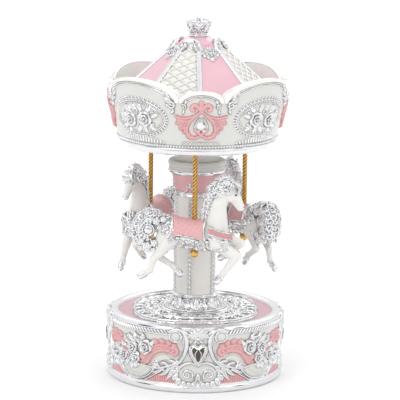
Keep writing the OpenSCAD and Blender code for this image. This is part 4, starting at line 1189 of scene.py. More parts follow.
@dataclass
class Column:
    """The column with its skirt, beaded strips, capital and rings."""

    radius: float = 11.1
    foot_z: float = 37.6
    shaft_z: float = 45.43
    capital_z: float = 102.43
    cap_z: float = 113.43
    strips: int = 5
    first: float = 53.0

    @property
    def turns(self) -> list[float]:
        """Turns of the strips about Z, in degrees."""
        return [self.first + 360 / self.strips * k for k in range(self.strips)]

    def skirt(self) -> None:
        """Carve the openwork leaf skirt at the column's foot."""
        radius = 13.0
        quarter = radius * pi / 2
        c = Canvas((0, quarter), (self.foot_z - 0.1, self.shaft_z + 0.5), 0.16, Paint.SILVER, fold=True)
        for x in (0, quarter / 2, quarter):
            c.leaf((x, 38), (x, 44.9), 0, 1.7, 1.1)
            c.leaf((x + 0.6, 38.2), (x + 3, 43.6), -0.7, 1.1, 0.9)
            c.leaf((x - 0.6, 38.2), (x - 3, 43.6), 0.7, 1.1, 0.9)
            c.dome(x, 38.9, 1.1, 1.0, 1.2)
        for x in (quarter / 4, quarter * 3 / 4):
            c.curl(x - 1.5, 42.6, 250, -1.1, 1.5, 0.35, (0.42, 0.32), 0.9)
            c.curl(x + 1.5, 42.6, -70, 1.1, 1.5, 0.35, (0.42, 0.32), 0.9)
            c.leaf((x, 38), (x, 41.8), 0, 0.9, 0.8)
            c.stroke([(x - 3, 38.3), (x, 39.6), (x + 3, 38.3)], 0.35, 0.8)
        c.stroke([(0, 44.7), (quarter, 44.7)], 0.5, 0.9)
        c.beads(0, quarter, 37.9, 1.28, 0.6, 0.8)
        line = [(14.6, 37.5), (14.3, 38.5), (13.1, 40.9), (12.2, 43.8), (12.1, 44.2), (12.1, 46)]
        c.pieces("column_skirt_leaves", round_wall(line, radius, 0.06), Body.BASE)
        dress("column_skirt", SILVER)

    def strip(self) -> None:
        """Carve the beaded strips that run up the shaft."""
        low, high = self.shaft_z + 0.1, self.capital_z - 1.0
        c = Canvas((-1.5, 1.5), (low, high), 0.12)
        c.fill([(-0.75, low), (0.75, low), (0.75, high), (-0.75, high)], 0.3, Paint.SILVER, 0.3)
        count = 22
        pitch = (high - low) / count
        for i in range(count):
            z = low + pitch * (i + 0.5)
            c.dome(0, z, 0.62, 0.62, 1.15)
            for side in (-1, 1):
                c.dome(side * 0.78, z + pitch / 2, 0.46, 0.72, 0.85, turn=side * 22)
                c.dome(side * 1.0, z - 0.15, 0.26, 0.26, 0.55)
        line = [(self.radius + 0.5, 40), (self.radius + 0.5, 110)]
        c.pieces("column_strip", round_wall(line, self.radius, 0.05), Body.BASE, turns=self.turns)

    def festoon(self) -> None:
        """Carve the silver line and the trefoils on the pink capital."""
        radius = 12.5
        span = 2 * pi * radius / self.strips
        c = Canvas((-span / 2, span / 2), (self.capital_z - 0.6, self.cap_z + 0.2), 0.16)
        c.mirrors = [0]
        z = self.capital_z
        c.stroke(curve(span / 2, z + 1.3, 4.6, z + 1, 2.4, z + 1.9, 1.1, z + 3.4, 0, z + 4.1), 0.36, 0.75)
        c.leaf((0.9, z + 3.6), (2.6, z + 5), 0.3, 0.55, 0.8)
        c.leaf((0, z + 4), (0, z + 7.4), 0, 0.6, 0.9)
        c.dome(0, z + 4.2, 0.7, 0.7, 1.0)
        c.leaf((1.2, z + 3.2), (2.4, z + 1.6), 0.3, 0.5, 0.8)
        line = [
            (11.4, z - 1), (11.4, z), (11.7, z + 1), (13.2, self.cap_z - 3.4), (14.1, self.cap_z),
            (14.1, self.cap_z + 1)]
        c.pieces("capital_festoon", round_wall(line, radius, 0.06), Body.BASE, turns=self.turns)

    def rings(self) -> None:
        """Turn the silver rings of the column."""
        neck = [
            (11, -1.5), (12, -1.4), (12.25, -0.9), (12, -0.3), (11.75, 0.1), (11.95, 0.5), (11.7, 0.9),
            (11, 0.9)]
        foot = [(11, -0.8), (12.2, -0.7), (12.5, -0.2), (12.3, 0.4), (11.6, 0.7), (11, 0.7)]
        head = [(13.9, -0.3), (14.9, -0.1), (15.7, 0.5), (16.15, 1.3), (16, 2.1), (15.3, 2.5), (14.2, 2.5)]
        lines = [(self.capital_z, neck), (self.shaft_z, foot), (self.cap_z, head)]
        turned("column_rings", SILVER, Body.BASE, lines, steps=128, closed=True)

    def build(self) -> None:
        """Build every piece of the column."""
        self.skirt()
        self.strip()
        self.festoon()
        self.rings()
        dress("column_shaft", STONE)
        dress("column_capital", ROSE_PINK)
        # The stepped cap takes the greyer copy, painted shade under the canopy.
        dress("column_cap", SHADED_STONE)
        dress("shaft_bush", BRASS)


@dataclass
class Crown:
    """The lobed crown wall with its scrolls, ovals, edge and lower band."""

    radius: float = 48.0
    lip_z: float = 129.43
    valley_z: float = 160.43
    edge_r: float = 49.5
    lobes: tuple[Row, Row] = ((0, 11.97, 5), (45, 25.49, 10))
    line: tuple[Row, ...] = (
        (43.36, 133), (43.36, 133.43), (44.15, 136.43), (45.64, 141.83), (46.93, 147.43), (48.41, 153.93),
        (49.30, 161.43), (49.5, 172.43))

    @property
    def quarter(self) -> float:
        """Length of a quarter of the wall."""
        return self.radius * pi / 2

    def top(self, u: Array) -> Array:
        """Return the height of the lobed edge above each point of the wall.

        Args:
            u: Places across the sheet.

        Returns:
            The heights.
        """
        turn = np.degrees(np.asarray(u, float) / self.radius) % 90
        best = np.full(turn.shape, self.valley_z)
        for middle, half, rise in self.lobes:
            away = (turn - middle + 45) % 90 - 45
            x = self.edge_r * np.sin(np.radians(away)) / half
            best = np.maximum(best, self.valley_z + rise * np.sqrt(np.clip(1 - x * x, 0, None)))
        return best

    def edge(self) -> None:
        """Sweep the bright moulding along the lobed edge."""
        r, z = np.array(self.line).T
        u = np.linspace(0, 4 * self.quarter, 960, endpoint=False)
        sharp = self.top(u)
        high = sharp.copy()
        for _ in range(3):
            high = (np.roll(high, 1) + 2 * high + np.roll(high, -1)) / 4
        high -= 0.75
        a = u / self.radius
        slope = np.gradient(high) / np.gradient(u)
        ring = []
        for turn in circle(14):
            c, s = cos(turn), sin(turn)
            out = np.interp(high, z, r) - 0.95 + 1.52 * abs(c) ** 0.8 * (1 if c > 0 else -1)
            lift = 0.95 * abs(s) ** 0.8 * (1 if s > 0 else -1)
            along = -slope * lift / np.sqrt(1 + slope**2) / self.radius
            ring.append(around(out, a + along, high + lift / np.sqrt(1 + slope**2)))
        shape = Shape()
        shape.rings(np.array(ring).transpose(1, 0, 2), caps=False, closed=True)
        shape.piece("crown_edge", SILVER, Body.CAROUSEL)

    def inner_line(self, c: Canvas) -> None:
        """Carve the fine lines that follow the edge.

        Args:
            c: Sheet of the wall.
        """
        for drop, wide, rise in ((2.3, 0.34, 0.55), (3.2, 0.26, 0.4)):
            for low, high in ((0, 10.6), (12.9, self.quarter / 2)):
                u = np.linspace(low, high, 60)
                mid = low if low == 0 else self.quarter / 2
                inner = mid + (u - mid) * (1 - drop / (12 if low == 0 else 26))
                c.stroke(np.stack([inner, self.top(u) - drop], -1), wide, rise)
                if low:
                    c.stroke(np.stack([2 * mid - inner, self.top(u) - drop], -1), wide, rise)

    def scroll(self, c: Canvas) -> None:
        """Carve the pink leaf scroll with its silver drop.

        Args:
            c: Sheet of the wall.
        """
        wing = [
            (-0.2, 155), (0.9, 154.6), (3.4, 152.9), (7, 151.7), (10.9, 151.8), (14, 152.6), (13.9, 151),
            (13.1, 150.1), (13.4, 148.8), (14.1, 147), (12.4, 147.2), (12, 145.4), (11.4, 143.9),
            (9.8, 144.3), (10.3, 142.4), (8.6, 141.9), (7.9, 139.8), (5.8, 138.9), (2.8, 138.9),
            (-0.2, 140.8), (-0.2, 142.4), (1.2, 141.9), (3.4, 141), (5.4, 141.6), (6.7, 143.4), (6.8, 145.8),
            (5.6, 148.5), (3.6, 151), (1.4, 153.1), (-0.2, 154.2)]
        c.fill(wing, 0.95, Paint.ROSE, 0.7)
        crook = curve(
            3.4, 151.6, 6.4, 148.6, 7.6, 145.6, 7.6, 143, 6.2, 140.6, 3.6, 139.9, 1.2, 140.6, 0, 141.6)
        ridges = (
            (0.62, curve(0, 154.8, 3.6, 152.2, 7.2, 150.9, 10.6, 150.9, 13.6, 151.8)),
            (0.55, curve(2.4, 152.4, 6.4, 149.8, 9.6, 148.6, 13.4, 147.9)),
            (0.5, curve(5.6, 149.8, 8, 148, 10, 146.2, 11.6, 144.6)),
            (0.68, crook),
            (0.5, curve(7.6, 144.6, 9.8, 142.8)),
            (0.5, curve(7, 141.8, 7.6, 140.2)),
        )
        for width, line in ridges:
            c.stroke(line, width, 1.45, Paint.ROSE)
        c.stroke([(0, 141.6), (1.5, 142.7), (3.2, 144.3)], (0.8, 0.75, 0.85), 1.45, Paint.ROSE)
        c.stroke([(0, 154.4), (0, 156.8), (0, 159.2)], (0.9, 1.1, 1.45), (1.3, 1.2, 0.95), Paint.ROSE, 0.3)
        hook = curve(0.4, 154.8, 1.7, 157.2, 3.4, 158, 4.9, 157, 4.8, 155.6, 3.8, 155.3)
        c.stroke(
            hook, np.interp(np.linspace(0, 1, len(hook)), (0, 0.5, 1), (0.8, 1.15, 0.9)), 1.1, Paint.ROSE, 0.3
        )
        drop = [
            (-0.2, 152.2), (0.9, 150.9), (2.2, 149.3), (3.3, 147.3), (3.4, 145.7), (2.4, 144.2), (0.9, 143.5),
            (-0.2, 143.4)]
        c.fill(drop, 1.1, Paint.SILVER, 2.0)
        c.curl(9.2, 157.0, 60, 1.1, 1.5, 0.35, (0.5, 0.4), 1.1)
        c.dome(8.3, 159.4, 0.7, 1.0, 0.9, turn=20)
        c.leaf((9.4, 155.6), (9.9, 152.8), -0.3, 0.6, 0.9)
        c.stroke(drop[1:-1], 0.4, 1.0)

    def corners(self, c: Canvas) -> None:
        """Carve the silver leaf scrolls in the corners of the lobes.

        Args:
            c: Sheet of the wall.
        """
        m = self.quarter / 2
        for side in (-1, 1):
            x = m - side * (m - 15.6)
            c.curl(x + side * 0.4, 157.6, 90 - side * 10, side * 1.2, 2.1, 0.45, (0.75, 0.5), 1.5)
            rows = [
                (0.4, 159.6, 2.6, 165.6, -0.8, 1.15), (0, 158.4, 4.4, 162.2, -0.6, 1),
                (0.4, 157, 3.6, 158.6, -0.4, 0.8), (-0.4, 156.4, 0.4, 152.6, -0.5, 0.85),
                (2.2, 163.4, 5.6, 167, -0.5, 0.9)]
            c.leaves(rows, 1.3, x=x, sense=side)

    def cameo(self, c: Canvas) -> None:
        """Carve the beaded oval with its roses on a large lobe.

        Args:
            c: Sheet of the wall.
        """
        m = self.quarter / 2
        a = np.linspace(0, 2 * pi, 73)
        wide, high, z = 18.0, 9.9, 149.3
        oval = np.stack([m + wide * np.cos(a), z + high * np.sin(a)], -1)
        c.fill(oval[:-1], 0.3, Paint.PEARL, 0.8)
        c.stroke(oval, 0.42, 0.8)
        inner = np.stack([m + (wide - 1.9) * np.cos(a), z + (high - 1.9) * np.sin(a)], -1)
        c.stroke(inner, 0.3, 0.8)
        for t in circle(76):
            c.dome(m + (wide - 0.95) * cos(t), z + (high - 0.95) * sin(t), 0.5, 0.5, 0.95)
        for t in circle(44):
            out = np.array([cos(t) * (wide + 0.3), sin(t) * (high + 0.3)])
            tip = np.array([cos(t) * (wide + 1.9), sin(t) * (high + 1.7)])
            c.leaf((m + out[0], z + out[1]), (m + tip[0], z + tip[1]), 0.1, 0.55, 0.7)
        rows = [
            (7, 152, 10.8, 156.2, 0.8, 1.5), (3, 152.6, 1, 157.2, -0.8, 1.5),
            (9.4, 149.6, 14.6, 151.6, 0.6, 1.4), (8.6, 146.6, 12.4, 143, -0.6, 1.4),
            (5.4, 145, 6.6, 141.2, -0.5, 1.3), (2, 145.6, -0.8, 141.4, 0.7, 1.5),
            (-1, 150.4, -3.4, 156.8, -0.8, 1.6), (-4, 150.2, -9.6, 155.4, -0.9, 1.8),
            (-8.4, 148.4, -14.2, 150.2, -0.6, 1.5), (-8, 145, -13, 143.8, 0.6, 1.4),
            (-5.4, 143.4, -8, 140.9, 0.4, 1.3)]
        c.leaves(rows, 1.1, 0.2, m, -1)
        c.rose(m - 5.4, 149.1, 4.7, 2.7, 15, foot=0.3)
        c.rose(m + 5.0, 147.8, 4.4, 2.6, 45, foot=0.3)
        c.rose(m + 0.4, 152.6, 2.0, 1.7, 70, foot=0.3)
        for x, y in ((-11.2, 153), (-0.4, 143.6), (10.6, 151.6), (5.4, 152.4), (-10.8, 146.4)):
            c.dome(m + x, y, 0.8, 0.8, 1.5)

    def hem(self, c: Canvas) -> None:
        """Carve the bead row and the upright flutes over the lower band.

        Args:
            c: Sheet of the wall.
        """
        m = self.quarter / 2
        c.beads(0, self.quarter, 134.6, 1.75, 0.78, 0.95)
        count = 17
        for i in range(count):
            x = m + (i - (count - 1) / 2) * 2.0
            c.stroke([(x, 136.2), (x, 138.9 - 0.008 * (x - m) ** 2)], (0.62, 0.5), (0.75, 0.6))
        for i in range(5):
            x = 2.4 * i
            c.stroke(
                curve(x - 1.1, 136, x - 0.8, 137, x, 137.5, x + 0.8, 137, x + 1.1, 136, steps=3), 0.26, 0.55)

    def band(self) -> None:
        """Turn the polished band around the crown's foot."""
        outline = [
            (38.6, 0.02), (40.2, 0), (41.5, 0.05), (42.3, 0.6), (42.85, 1.5), (43.3, 2.6), (43.9, 3.2),
            (44.05, 3.7), (43.9, 4.15), (43.3, 4.3), (42.6, 4.1)]
        turned("crown_band", SILVER, Body.CAROUSEL, [(self.lip_z, outline)], 4)

    def build(self) -> None:
        """Build every piece of the crown."""
        c = Canvas((0, self.quarter), (133.2, 171), 0.22, Paint.PEARL, fold=True)
        self.inner_line(c)
        self.corners(c)
        self.hem(c)
        c.mirrors = [self.quarter / 2]
        self.scroll(c)
        c.mirrors = []
        self.cameo(c)
        c.paint[c.v[None, :] > (self.top(c.u) - 0.6)[:, None]] = int(Paint.BARE)
        nodes = [f"crown_{kind}_{i}" for kind in ("cameo", "scroll") for i in range(1, 5)]
        c.pieces(
            "crown_wall_carving", round_wall(self.line, self.radius, 0.12), Body.CAROUSEL, stands_for=nodes)
        self.edge()
        self.band()
        # The inner wall takes the whiter lacquer, painted light in the shade under the roof.
        dress("crown_wall", WHITE)
        dress("canopy_floor", SILVER)


@dataclass
class Roof:
    """The eight-sided roof: lattice panels, garlands, ribs and finial."""

    low_z: float = 156.03
    low_r: float = 44.1
    top_z: float = 185.63
    top_r: float = 11.0
    arch_half: float = 5.5
    arch_foot: float = 34.1
    arch_rise: float = 9.4
    panel_half: float = 15.2

    def on_face(self, turn: float) -> Place:
        """Return the placing of a flat sheet on the face at a turn.

        Args:
            turn: Turn of the face's middle from -Y, in degrees.

        Returns:
            A function of u across, v up the slope, and relief.
        """
        a = radians(turn)
        out, along = np.array([sin(a), -cos(a), 0]), np.array([cos(a), sin(a), 0])
        near, far = self.low_r * cos(pi / 8), self.top_r * cos(pi / 8)
        run, rise = near - far, self.top_z - self.low_z
        length = hypot(run, rise)
        up = np.array([0, 0, rise / length]) - out * run / length
        off = out * rise / length + np.array([0, 0, run / length])
        start = out * near + np.array([0, 0, self.low_z])

        def place(u: Array, v: Array, h: Array) -> Array:
            """Return the points at u, v and the relief h.

            Args:
                u: Places across.
                v: Places up the slope.
                h: Relief.

            Returns:
                The points.
            """
            u, v = np.broadcast_arrays(u, v)
            h = h + 0.85 * np.clip((v - 40.4) / 2.2, 0, 1)
            return start + u[..., None] * along + v[..., None] * up + h[..., None] * off

        return place

    def lattice(self) -> None:
        """Carve the white lattice panels with their arched silver border."""
        c = Canvas((-16.2, 16.2), (0.4, 45.4), 0.2)
        c.mirrors = [0]
        narrow, foot, rise, wide = self.arch_half, self.arch_foot, self.arch_rise, self.panel_half
        arch = [(narrow * cos(a), foot + rise * sin(a)) for a in np.linspace(0, pi / 2, 13)]
        # The lattice takes the whiter copy of the pearl lacquer, as painted light.
        c.fill([(-0.2, 1.4), (wide, 1.4), *arch, (-0.2, 43.5)], 0.35, Paint.WHITE, 0.3)
        slope = tan(radians(33))
        for i in range(-2, 12):
            y0 = 2.2 + i * 5.1
            c.stroke([(-wide, y0 - wide * slope), (wide, y0 + wide * slope)], 0.52, 1.15, Paint.WHITE)
        half = np.interp(c.v, (1.4, foot), (wide, narrow))
        top = np.where(c.v > foot, narrow * np.sqrt(np.clip(1 - ((c.v - foot) / rise) ** 2, 0, None)), half)
        outside = np.abs(c.u)[:, None] > top[None, :] + 0.1
        c.height[outside] = c.bottom
        c.paint[outside] = int(Paint.BARE)
        border = np.array([(15.3, 1.2), (5.7, 34), *[(x * 1.05, y + 0.1) for x, y in arch[1:]]])
        c.stroke(
            border, np.interp(np.arange(len(border)), (0, 1, 4, len(border) - 1), (0.75, 0.95, 1.1, 1.3)), 1.4
        )
        c.stroke([(0, 1.3), (15.3, 1.3)], 0.6, 1.1)
        for k in range(4):
            c.pieces(
                f"roof_lattice_{k + 1}", self.on_face(-22.5 + 90 * k), Body.CAROUSEL,
                stands_for=[f"roof_lattice_{k + 1}"])

    def garland(self) -> None:
        """Carve the flower swags across the heads of the pink faces."""
        c = Canvas((-9.2, 9.2), (26, 42.4), 0.17)
        c.mirrors = [0]
        rng = np.random.default_rng(7)
        c.stroke(curve(6.6, 36.6, 4.4, 34, 1.8, 32.4, 0, 30.4), 1.5, 0.9)
        for x, y, r in (
            (6, 35.8, 2.1), (3.5, 33.6, 2.1), (0.9, 31.6, 2.2), (6.6, 38.6, 1.5), (1.6, 34.9, 1.6)
        ):
            c.rose(x, y, r, 2.0, 40 * x, foot=0.2)
        tips = (
            (6.4, 35, 8, 32.4), (5, 34.4, 5.8, 31.4), (3.6, 33, 4, 29.8), (2.2, 31.6, 2.6, 29),
            (0.6, 30.6, 1, 28), (0, 30, 0, 27.2), (6.6, 37.4, 8.2, 38.6), (4.4, 35.4, 4.4, 38.2),
            (2.6, 34.2, 2.4, 37), (0.8, 34.6, 0.5, 37.8), (5.6, 37, 5.8, 39.8))
        c.leaves([(*row, float(rng.uniform(-0.4, 0.4)), 0.85) for row in tips], 1.25)
        for x, y in ((4.8, 32.6), (3, 31), (1.4, 29.4), (7.4, 35.8), (2.2, 35.6), (0, 27.6), (6.2, 39.6)):
            c.dome(x, y, 0.55, 0.55, 1.3)
        c.v += 2.8
        for k in range(4):
            c.pieces(f"roof_garland_{k + 1}", self.on_face(22.5 + 90 * k), Body.CAROUSEL)

    def arches(self) -> None:
        """Bend the bright hoods that cap the lattice panels."""
        shape = Shape()
        slant = hypot((self.low_r - self.top_r) * cos(pi / 8), self.top_z - self.low_z)
        for k in range(4):
            place = self.on_face(-22.5 + 90 * k)
            a = np.linspace(-0.15, pi + 0.15, 33)
            u, v = 6.5 * np.cos(a), 34.2 + 10.0 * np.sin(a)
            half = np.interp(v, (0, slant), (self.low_r * sin(pi / 8), self.top_r * sin(pi / 8)))
            h = 0.5 - 0.6 * np.maximum(np.abs(u) - half, 0)
            path = np.array(
                [place(np.array([x]), np.array([y]), np.array([z]))[0] for x, y, z in zip(u, v, h)])
            shape.tube(path, bulge(len(path), 0.8, 1.25), 12)
        shape.piece("roof_arches", SILVER, Body.CAROUSEL)

    def ribs(self) -> None:
        """Lay the silver ribs along the roof's corners."""
        shape = Shape()
        t = np.linspace(0, 1, 24)
        for k in range(8):
            a = radians(45 * k)
            low = around(self.low_r - 0.5, a, self.low_z + 0.3)
            high = around(self.top_r + 0.1, a, self.top_z + 0.1)
            shape.tube(low + (high - low) * t[:, None], np.interp(t, (0, 1), (1.15, 0.9)), 12)
        shape.piece("roof_ribs", SILVER, Body.CAROUSEL)

    def finial(self) -> None:
        """Build the openwork coronet with its pearls, cap and orb."""
        z = 189.03
        shape = Shape()
        shape.lathe(
            curve(4.3, z, 5.3, z + 0.1, 5.6, z + 0.5, 5.2, z + 0.9, 4.6, z + 1.1, 5.05, z + 1.4, 5.2, z + 1.9,
            4.7, z + 2.2, 4.3, z + 2.2, steps=4), 72)
        for k in range(8):
            a = radians(45 * k + 22.5)
            for side in (-1, 1):
                t = np.linspace(0, 1, 10)
                way = a + side * 0.36 * np.sin(pi * t)
                path = around(4.9 + 1.7 * t**0.8, way, z + 2.0 + 5.6 * t)
                shape.tube(path, np.interp(t, (0, 0.5, 1), (0.42, 0.5, 0.3)), 8)
            shape.ball(around(6.6, a, z + 8.2), 0.85, 8, 12)
            mid = a + radians(22.5)
            shape.ball(around(6.05, mid, z + 5.9), 0.6, 8, 12)
            t = np.linspace(0, 1, 14)
            arch_r = 6.3 * np.cos(t * pi / 2) ** 0.7
            arch_z = z + 6.8 + 2.6 * np.sin(t * pi / 2)
            if k % 2 == 0:
                shape.tube(around(arch_r, a, arch_z), 0.36, 8)
            leaf = np.linspace(0, 1, 9)
            shape.tube(around(5.0 + 1.3 * leaf, mid, z + 2.0 + 6.6 * leaf), bulge(9, 0.15, 0.95), 8, 0.5)
            for turn, up, size in (
                (a, 3.6, 0.7), (mid - 0.2, 4.4, 0.5), (mid + 0.2, 6.6, 0.5), (a, 6.2, 0.75)
            ):
                shape.ball(around(5.3, turn, z + up), size, 7, 10)
        a = circle(96)
        rings = []
        for r, up in ((4.4, 3.9), (4.9, 4.8), (5, 5.9), (4.6, 7.1), (3.6, 8), (2, 8.6), (0.2, 8.8)):
            rings.append(around(r * (1 + 0.07 * np.abs(np.cos(8 * a))), a, z + up))
        shape.rings(np.array(rings))
        shape.ball((0, 0, z + 9.74), 1.25, 13, 18)
        shape.piece("finial_coronet", SILVER, Body.CAROUSEL, stands_for=["finial"])
        cap = [(4.3, 1.6), (4.7, 2.6), (4.9, 3.6), (4.6, 4.6), (3.4, 5.4), (1.8, 5.8), (0.3, 6)]
        turned("finial_cap", PALE_PINK, Body.CAROUSEL, [(z, cap)], 4, 64)

    def build(self) -> None:
        """Build every piece of the roof."""
        self.lattice()
        self.garland()
        self.arches()
        self.ribs()
        self.finial()
        dress("roof", PALE_PINK)


@dataclass
class Horse:
    """A galloping horse, drawn with its belly's centre at the origin.

    It heads along +X, and -Y is the side that faces out of the carousel.

    Attributes:
        number: Number of the horse, as in the frame's node names.
        turn: Turn around the carousel in degrees.
        reaching: Whether one foreleg stretches to the ground.
        collared: Whether it wears the silver breast collar.
    """

    number: int
    turn: float
    reaching: bool = False
    collared: bool = False
    ring_r: float = 30.4
    height: float = 84.43
    cell: float = 0.42

    @property
    def spot(self) -> Matrix:
        """Return where the horse stands on the carousel."""
        spin = Matrix.Rotation(radians(self.turn), 4, "Z")
        return spin @ Matrix.Translation((0, -self.ring_r * MM, self.height * MM))

    def show(self, form: Shape, part: str, finish: Finish) -> None:
        """Make the gathered forms into a piece of this horse."""
        form.piece(f"horse_{self.number}_{part}", finish, Body.CAROUSEL, place=self.spot)

    def legs(self) -> list[tuple[float, list[Row], list[float]]]:
        """Return side, joints and radii of each leg, from root to hoof.

        Returns:
            A row for each leg, with its joints as x and z.
        """
        hind = [3.9, 2.9, 2.2, 1.75, 1.85]
        near = (
            -3.6, [(-13.5, -2), (-18.4, -9.4), (-22.2, -13.4), (-23.8, -19.6), (-27, -21.6)], [5.2, *hind[1:]]
        )
        far = (3.6, [(-12.5, -2), (-17.4, -8.8), (-20.6, -12.9), (-12, -18.2), (-9.4, -21)], [5.2, *hind[1:]])
        if self.reaching:
            lead = (
                -3.5, [(12.5, -3), (16.6, -9), (19.4, -13), (22.4, -20.6), (23.4, -22.8)],
                [5, 3.4, 2.7, 1.8, 1.85])
            bent = (
                3.5, [(12.5, -3), (17.4, -9), (20, -12.2), (15.2, -17.2), (13.4, -18.6)],
                [4.6, 3.2, 2.5, 1.75, 1.75])
        else:
            lead = (
                -3.7, [(12, -3.4), (18.4, -8.4), (23, -10.9), (16.2, -20.4), (14.2, -23)],
                [5.2, 3.6, 2.8, 1.85, 1.9])
            bent = (
                3.6, [(13, -3), (20.4, -4), (25.2, -5.2), (18.4, -11.2), (16.6, -12.2)],
                [4.6, 3.3, 2.6, 1.8, 1.8])
        return [near, far, lead, bent]

    @staticmethod
    def trunk() -> Shape:
        """Return the barrel, neck and head without the legs.

        Returns:
            The gathered forms, not yet fused.
        """
        s = Shape()
        x = np.array([-20.4, -19.2, -17, -14, -10, -5, 0, 5, 10, 14, 17, 18.6])
        mid = np.array([2.6, 2.4, 2, 1.8, 1.3, 0.4, -0.4, -0.7, -0.6, -0.2, 0.6, 1])
        wide = np.array([1.4, 3.6, 5.4, 6.4, 6.8, 6.9, 6.8, 6.6, 6.4, 5.8, 4.2, 2])
        s.tube(np.stack([x, 0 * x, mid], -1), wide, 28, 1.1)
        for side in (-1, 1):
            s.ball((-13.6, side * 2.9, 0.6), (6.2, 4.6, 6.6), 14, 22)
            s.ball((-17.2, side * 2.2, -1.8), (3.8, 3.4, 5.4), 12, 18)
            s.ball((11.6, side * 3, -0.2), (5.2, 4, 6.4), 14, 22)
            s.ball((15.4, side * 2.1, -0.6), (4.2, 3.4, 4.8), 12, 18)
        s.limb((11.5, 0, 2), (11.9, 0, 10), 7.2, 5.8, 0.82, 26)
        s.limb((11.9, 0, 10), (12.2, 0, 16.5), 5.8, 5.0, 0.74, 26)
        s.limb((12.2, 0, 16.5), (16, 0, 23.4), 5.0, 4.3, 0.68, 26)
        s.limb((16.2, 0, 23.8), (19.2, 0, 24.6), 4.2, 3.6, 0.78, 24)
        s.limb((19, 0, 24.4), (22.6, 0, 20.4), 3.3, 2.7, 0.84, 24)
        s.limb((22.4, 0, 20.8), (24.9, 0, 16.4), 2.5, 1.95, 0.86, 22)
        s.limb((25.2, 0, 15.9), (25.3, 0, 15), 1.85, 1.75, 0.92, 20)
        s.limb((19.6, 0, 21.6), (24.2, 0, 14.4), 2.5, 1.25, 0.8, 20)
        for side in (-1, 1):
            s.ball((19.2, side * 1.7, 21.3), (3, 1.6, 3), 12, 16)
            s.ball((22.1, side * 2, 22.7), (1.5, 0.9, 1.1), 10, 14)
            s.ball((26, side * 1.05, 15.9), (0.95, 0.75, 0.95), 8, 12)
            s.limb((21.6, side * 1.9, 20.6), (24.6, side * 1.4, 17), 0.55, 0.35, 1, 8)
        return s

    def body(self) -> None:
        """Fuse the trunk with the four legs."""
        s = self.trunk()
        # A limb shrinks a little before each joint, so that the joint shows.
        for side, joints, radii in self.legs():
            pts = [(x, side, z) for x, z in joints]
            for a, b, ra, rb in zip(pts[:-1], pts[1:], radii[:-1], radii[1:]):
                s.limb(a, b, ra, rb * (1 if b is pts[-1] else 0.94), 0.86)
            knee = pts[2]
            s.ball(knee, (radii[2] * 1.05, radii[2] * 0.95, radii[2] * 1.05), 10, 14)
            s.ball(pts[3], (radii[3] * 1.15,) * 3, 10, 14)
        for side in (-1, 1):
            s.limb((18.4, side * 1.9, 27.2), (19.2, side * 2.5, 30.2), 1.0, 0.3, 0.6, 10)
        points, faces = s.melted(self.cell, 7)
        # The body takes the lighter horse pearl, painted light against the canopy's shade.
        make_piece(
            f"horse_{self.number}_body", points, faces, LIT_HORSE_PEARL, Body.CAROUSEL, [f"horse_{self.number}"],
            self.spot)

    def face(self) -> None:
        """Set the eyes and the nostrils."""
        eyes = Shape()
        lids = Shape()
        for side in (-1, 1):
            eyes.ball((22.3, side * 2.62, 22.6), (0.75, 0.45, 0.58), 10, 14)
            eyes.ball((26.55, side * 1.42, 15.8), (0.36, 0.32, 0.3), 8, 10)
            arc = [
                (21.2, side * 2.35, 22.5), (21.8, side * 2.9, 23.3), (22.6, side * 2.85, 23.3),
                (23.2, side * 2.3, 22.6)]
            lids.tube(spline(arc, 4), 0.22, 8)
        self.show(eyes, "eyes", JET)
        self.show(lids, "lids", LIT_HORSE_PEARL)

    def hooves(self) -> None:
        """Shape the silver hooves with a curled tuft over each."""
        s = Shape()
        for side, joints, radii in self.legs():
            b, a = np.array(joints[-1], float), np.array(joints[-2], float)
            way = unit(b - a)
            flat = np.array([-way[1], way[0]])
            start = b - way * 0.4
            tip = b + way * 2.6
            s.limb((start[0], side, start[1]), (tip[0], side, tip[1]), 1.85, 2.0, 0.86, 16)
            for k in range(6):
                t = 2 * pi * k / 6
                off = flat * cos(t) * 1.9
                y = side + 1.7 * sin(t)
                root = b - way * 1.5
                mid = root + off * 0.7 + way * 0.9
                end = root + off * 1.15 + way * 2.2
                s.tube(
                    spline([(root[0], side + (y - side) * 0.6, root[1]), (mid[0], y, mid[1]),
                    (end[0], y, end[1])], 4), bulge(9, 0.15, 0.62), 7)
        self.show(s, "hooves", SILVER)

    @staticmethod
    def lock(s: Shape, points: Sequence[Row], radius: float, spread: Row) -> None:
        """Lay a lock of hair made of three strands.

        Args:
            s: Shape that takes the lock.
            points: Points along the lock.
            radius: Greatest radius of a strand.
            spread: Offset between neighbouring strands.
        """
        path = spline(points, 5)
        t = np.linspace(0, 1, len(path))[:, None]
        for k in (-1, 0, 1):
            off = np.asarray(spread, float) * k * np.sin(pi * (0.15 + 0.75 * t))
            s.tube(path + off, bulge(len(path), 0.1, radius * (1 if k == 0 else 0.8), 0.42), 8)

    @staticmethod
    def snail(s: Shape, centre: Row, normal: Row, radius: float, start: float, sense: int) -> None:
        """Lay a curl of hair that winds up on itself like a snail.

        Args:
            s: Shape that takes the curl.
            centre: Its centre.
            normal: Way that its face looks.
            radius: Its radius.
            start: Where it starts, in radians.
            sense: 1 or -1, the way it winds.
        """
        n = unit(np.asarray(normal, float))
        across = unit(np.cross(n, (0, 0.2, 1)))
        up = np.cross(n, across)
        t = np.linspace(0, 1, 19)[:, None]
        a = start + sense * 9.4 * t
        r = radius * (1.25 - 1.05 * t**0.8)
        path = np.asarray(centre, float) + r * (
            np.cos(a) * across + np.sin(a) * up
        ) + n * (0.75 * radius * t - 0.35 * radius)
        s.tube(path, bulge(len(path), 0.1, radius * 0.31, 0.4), 7)

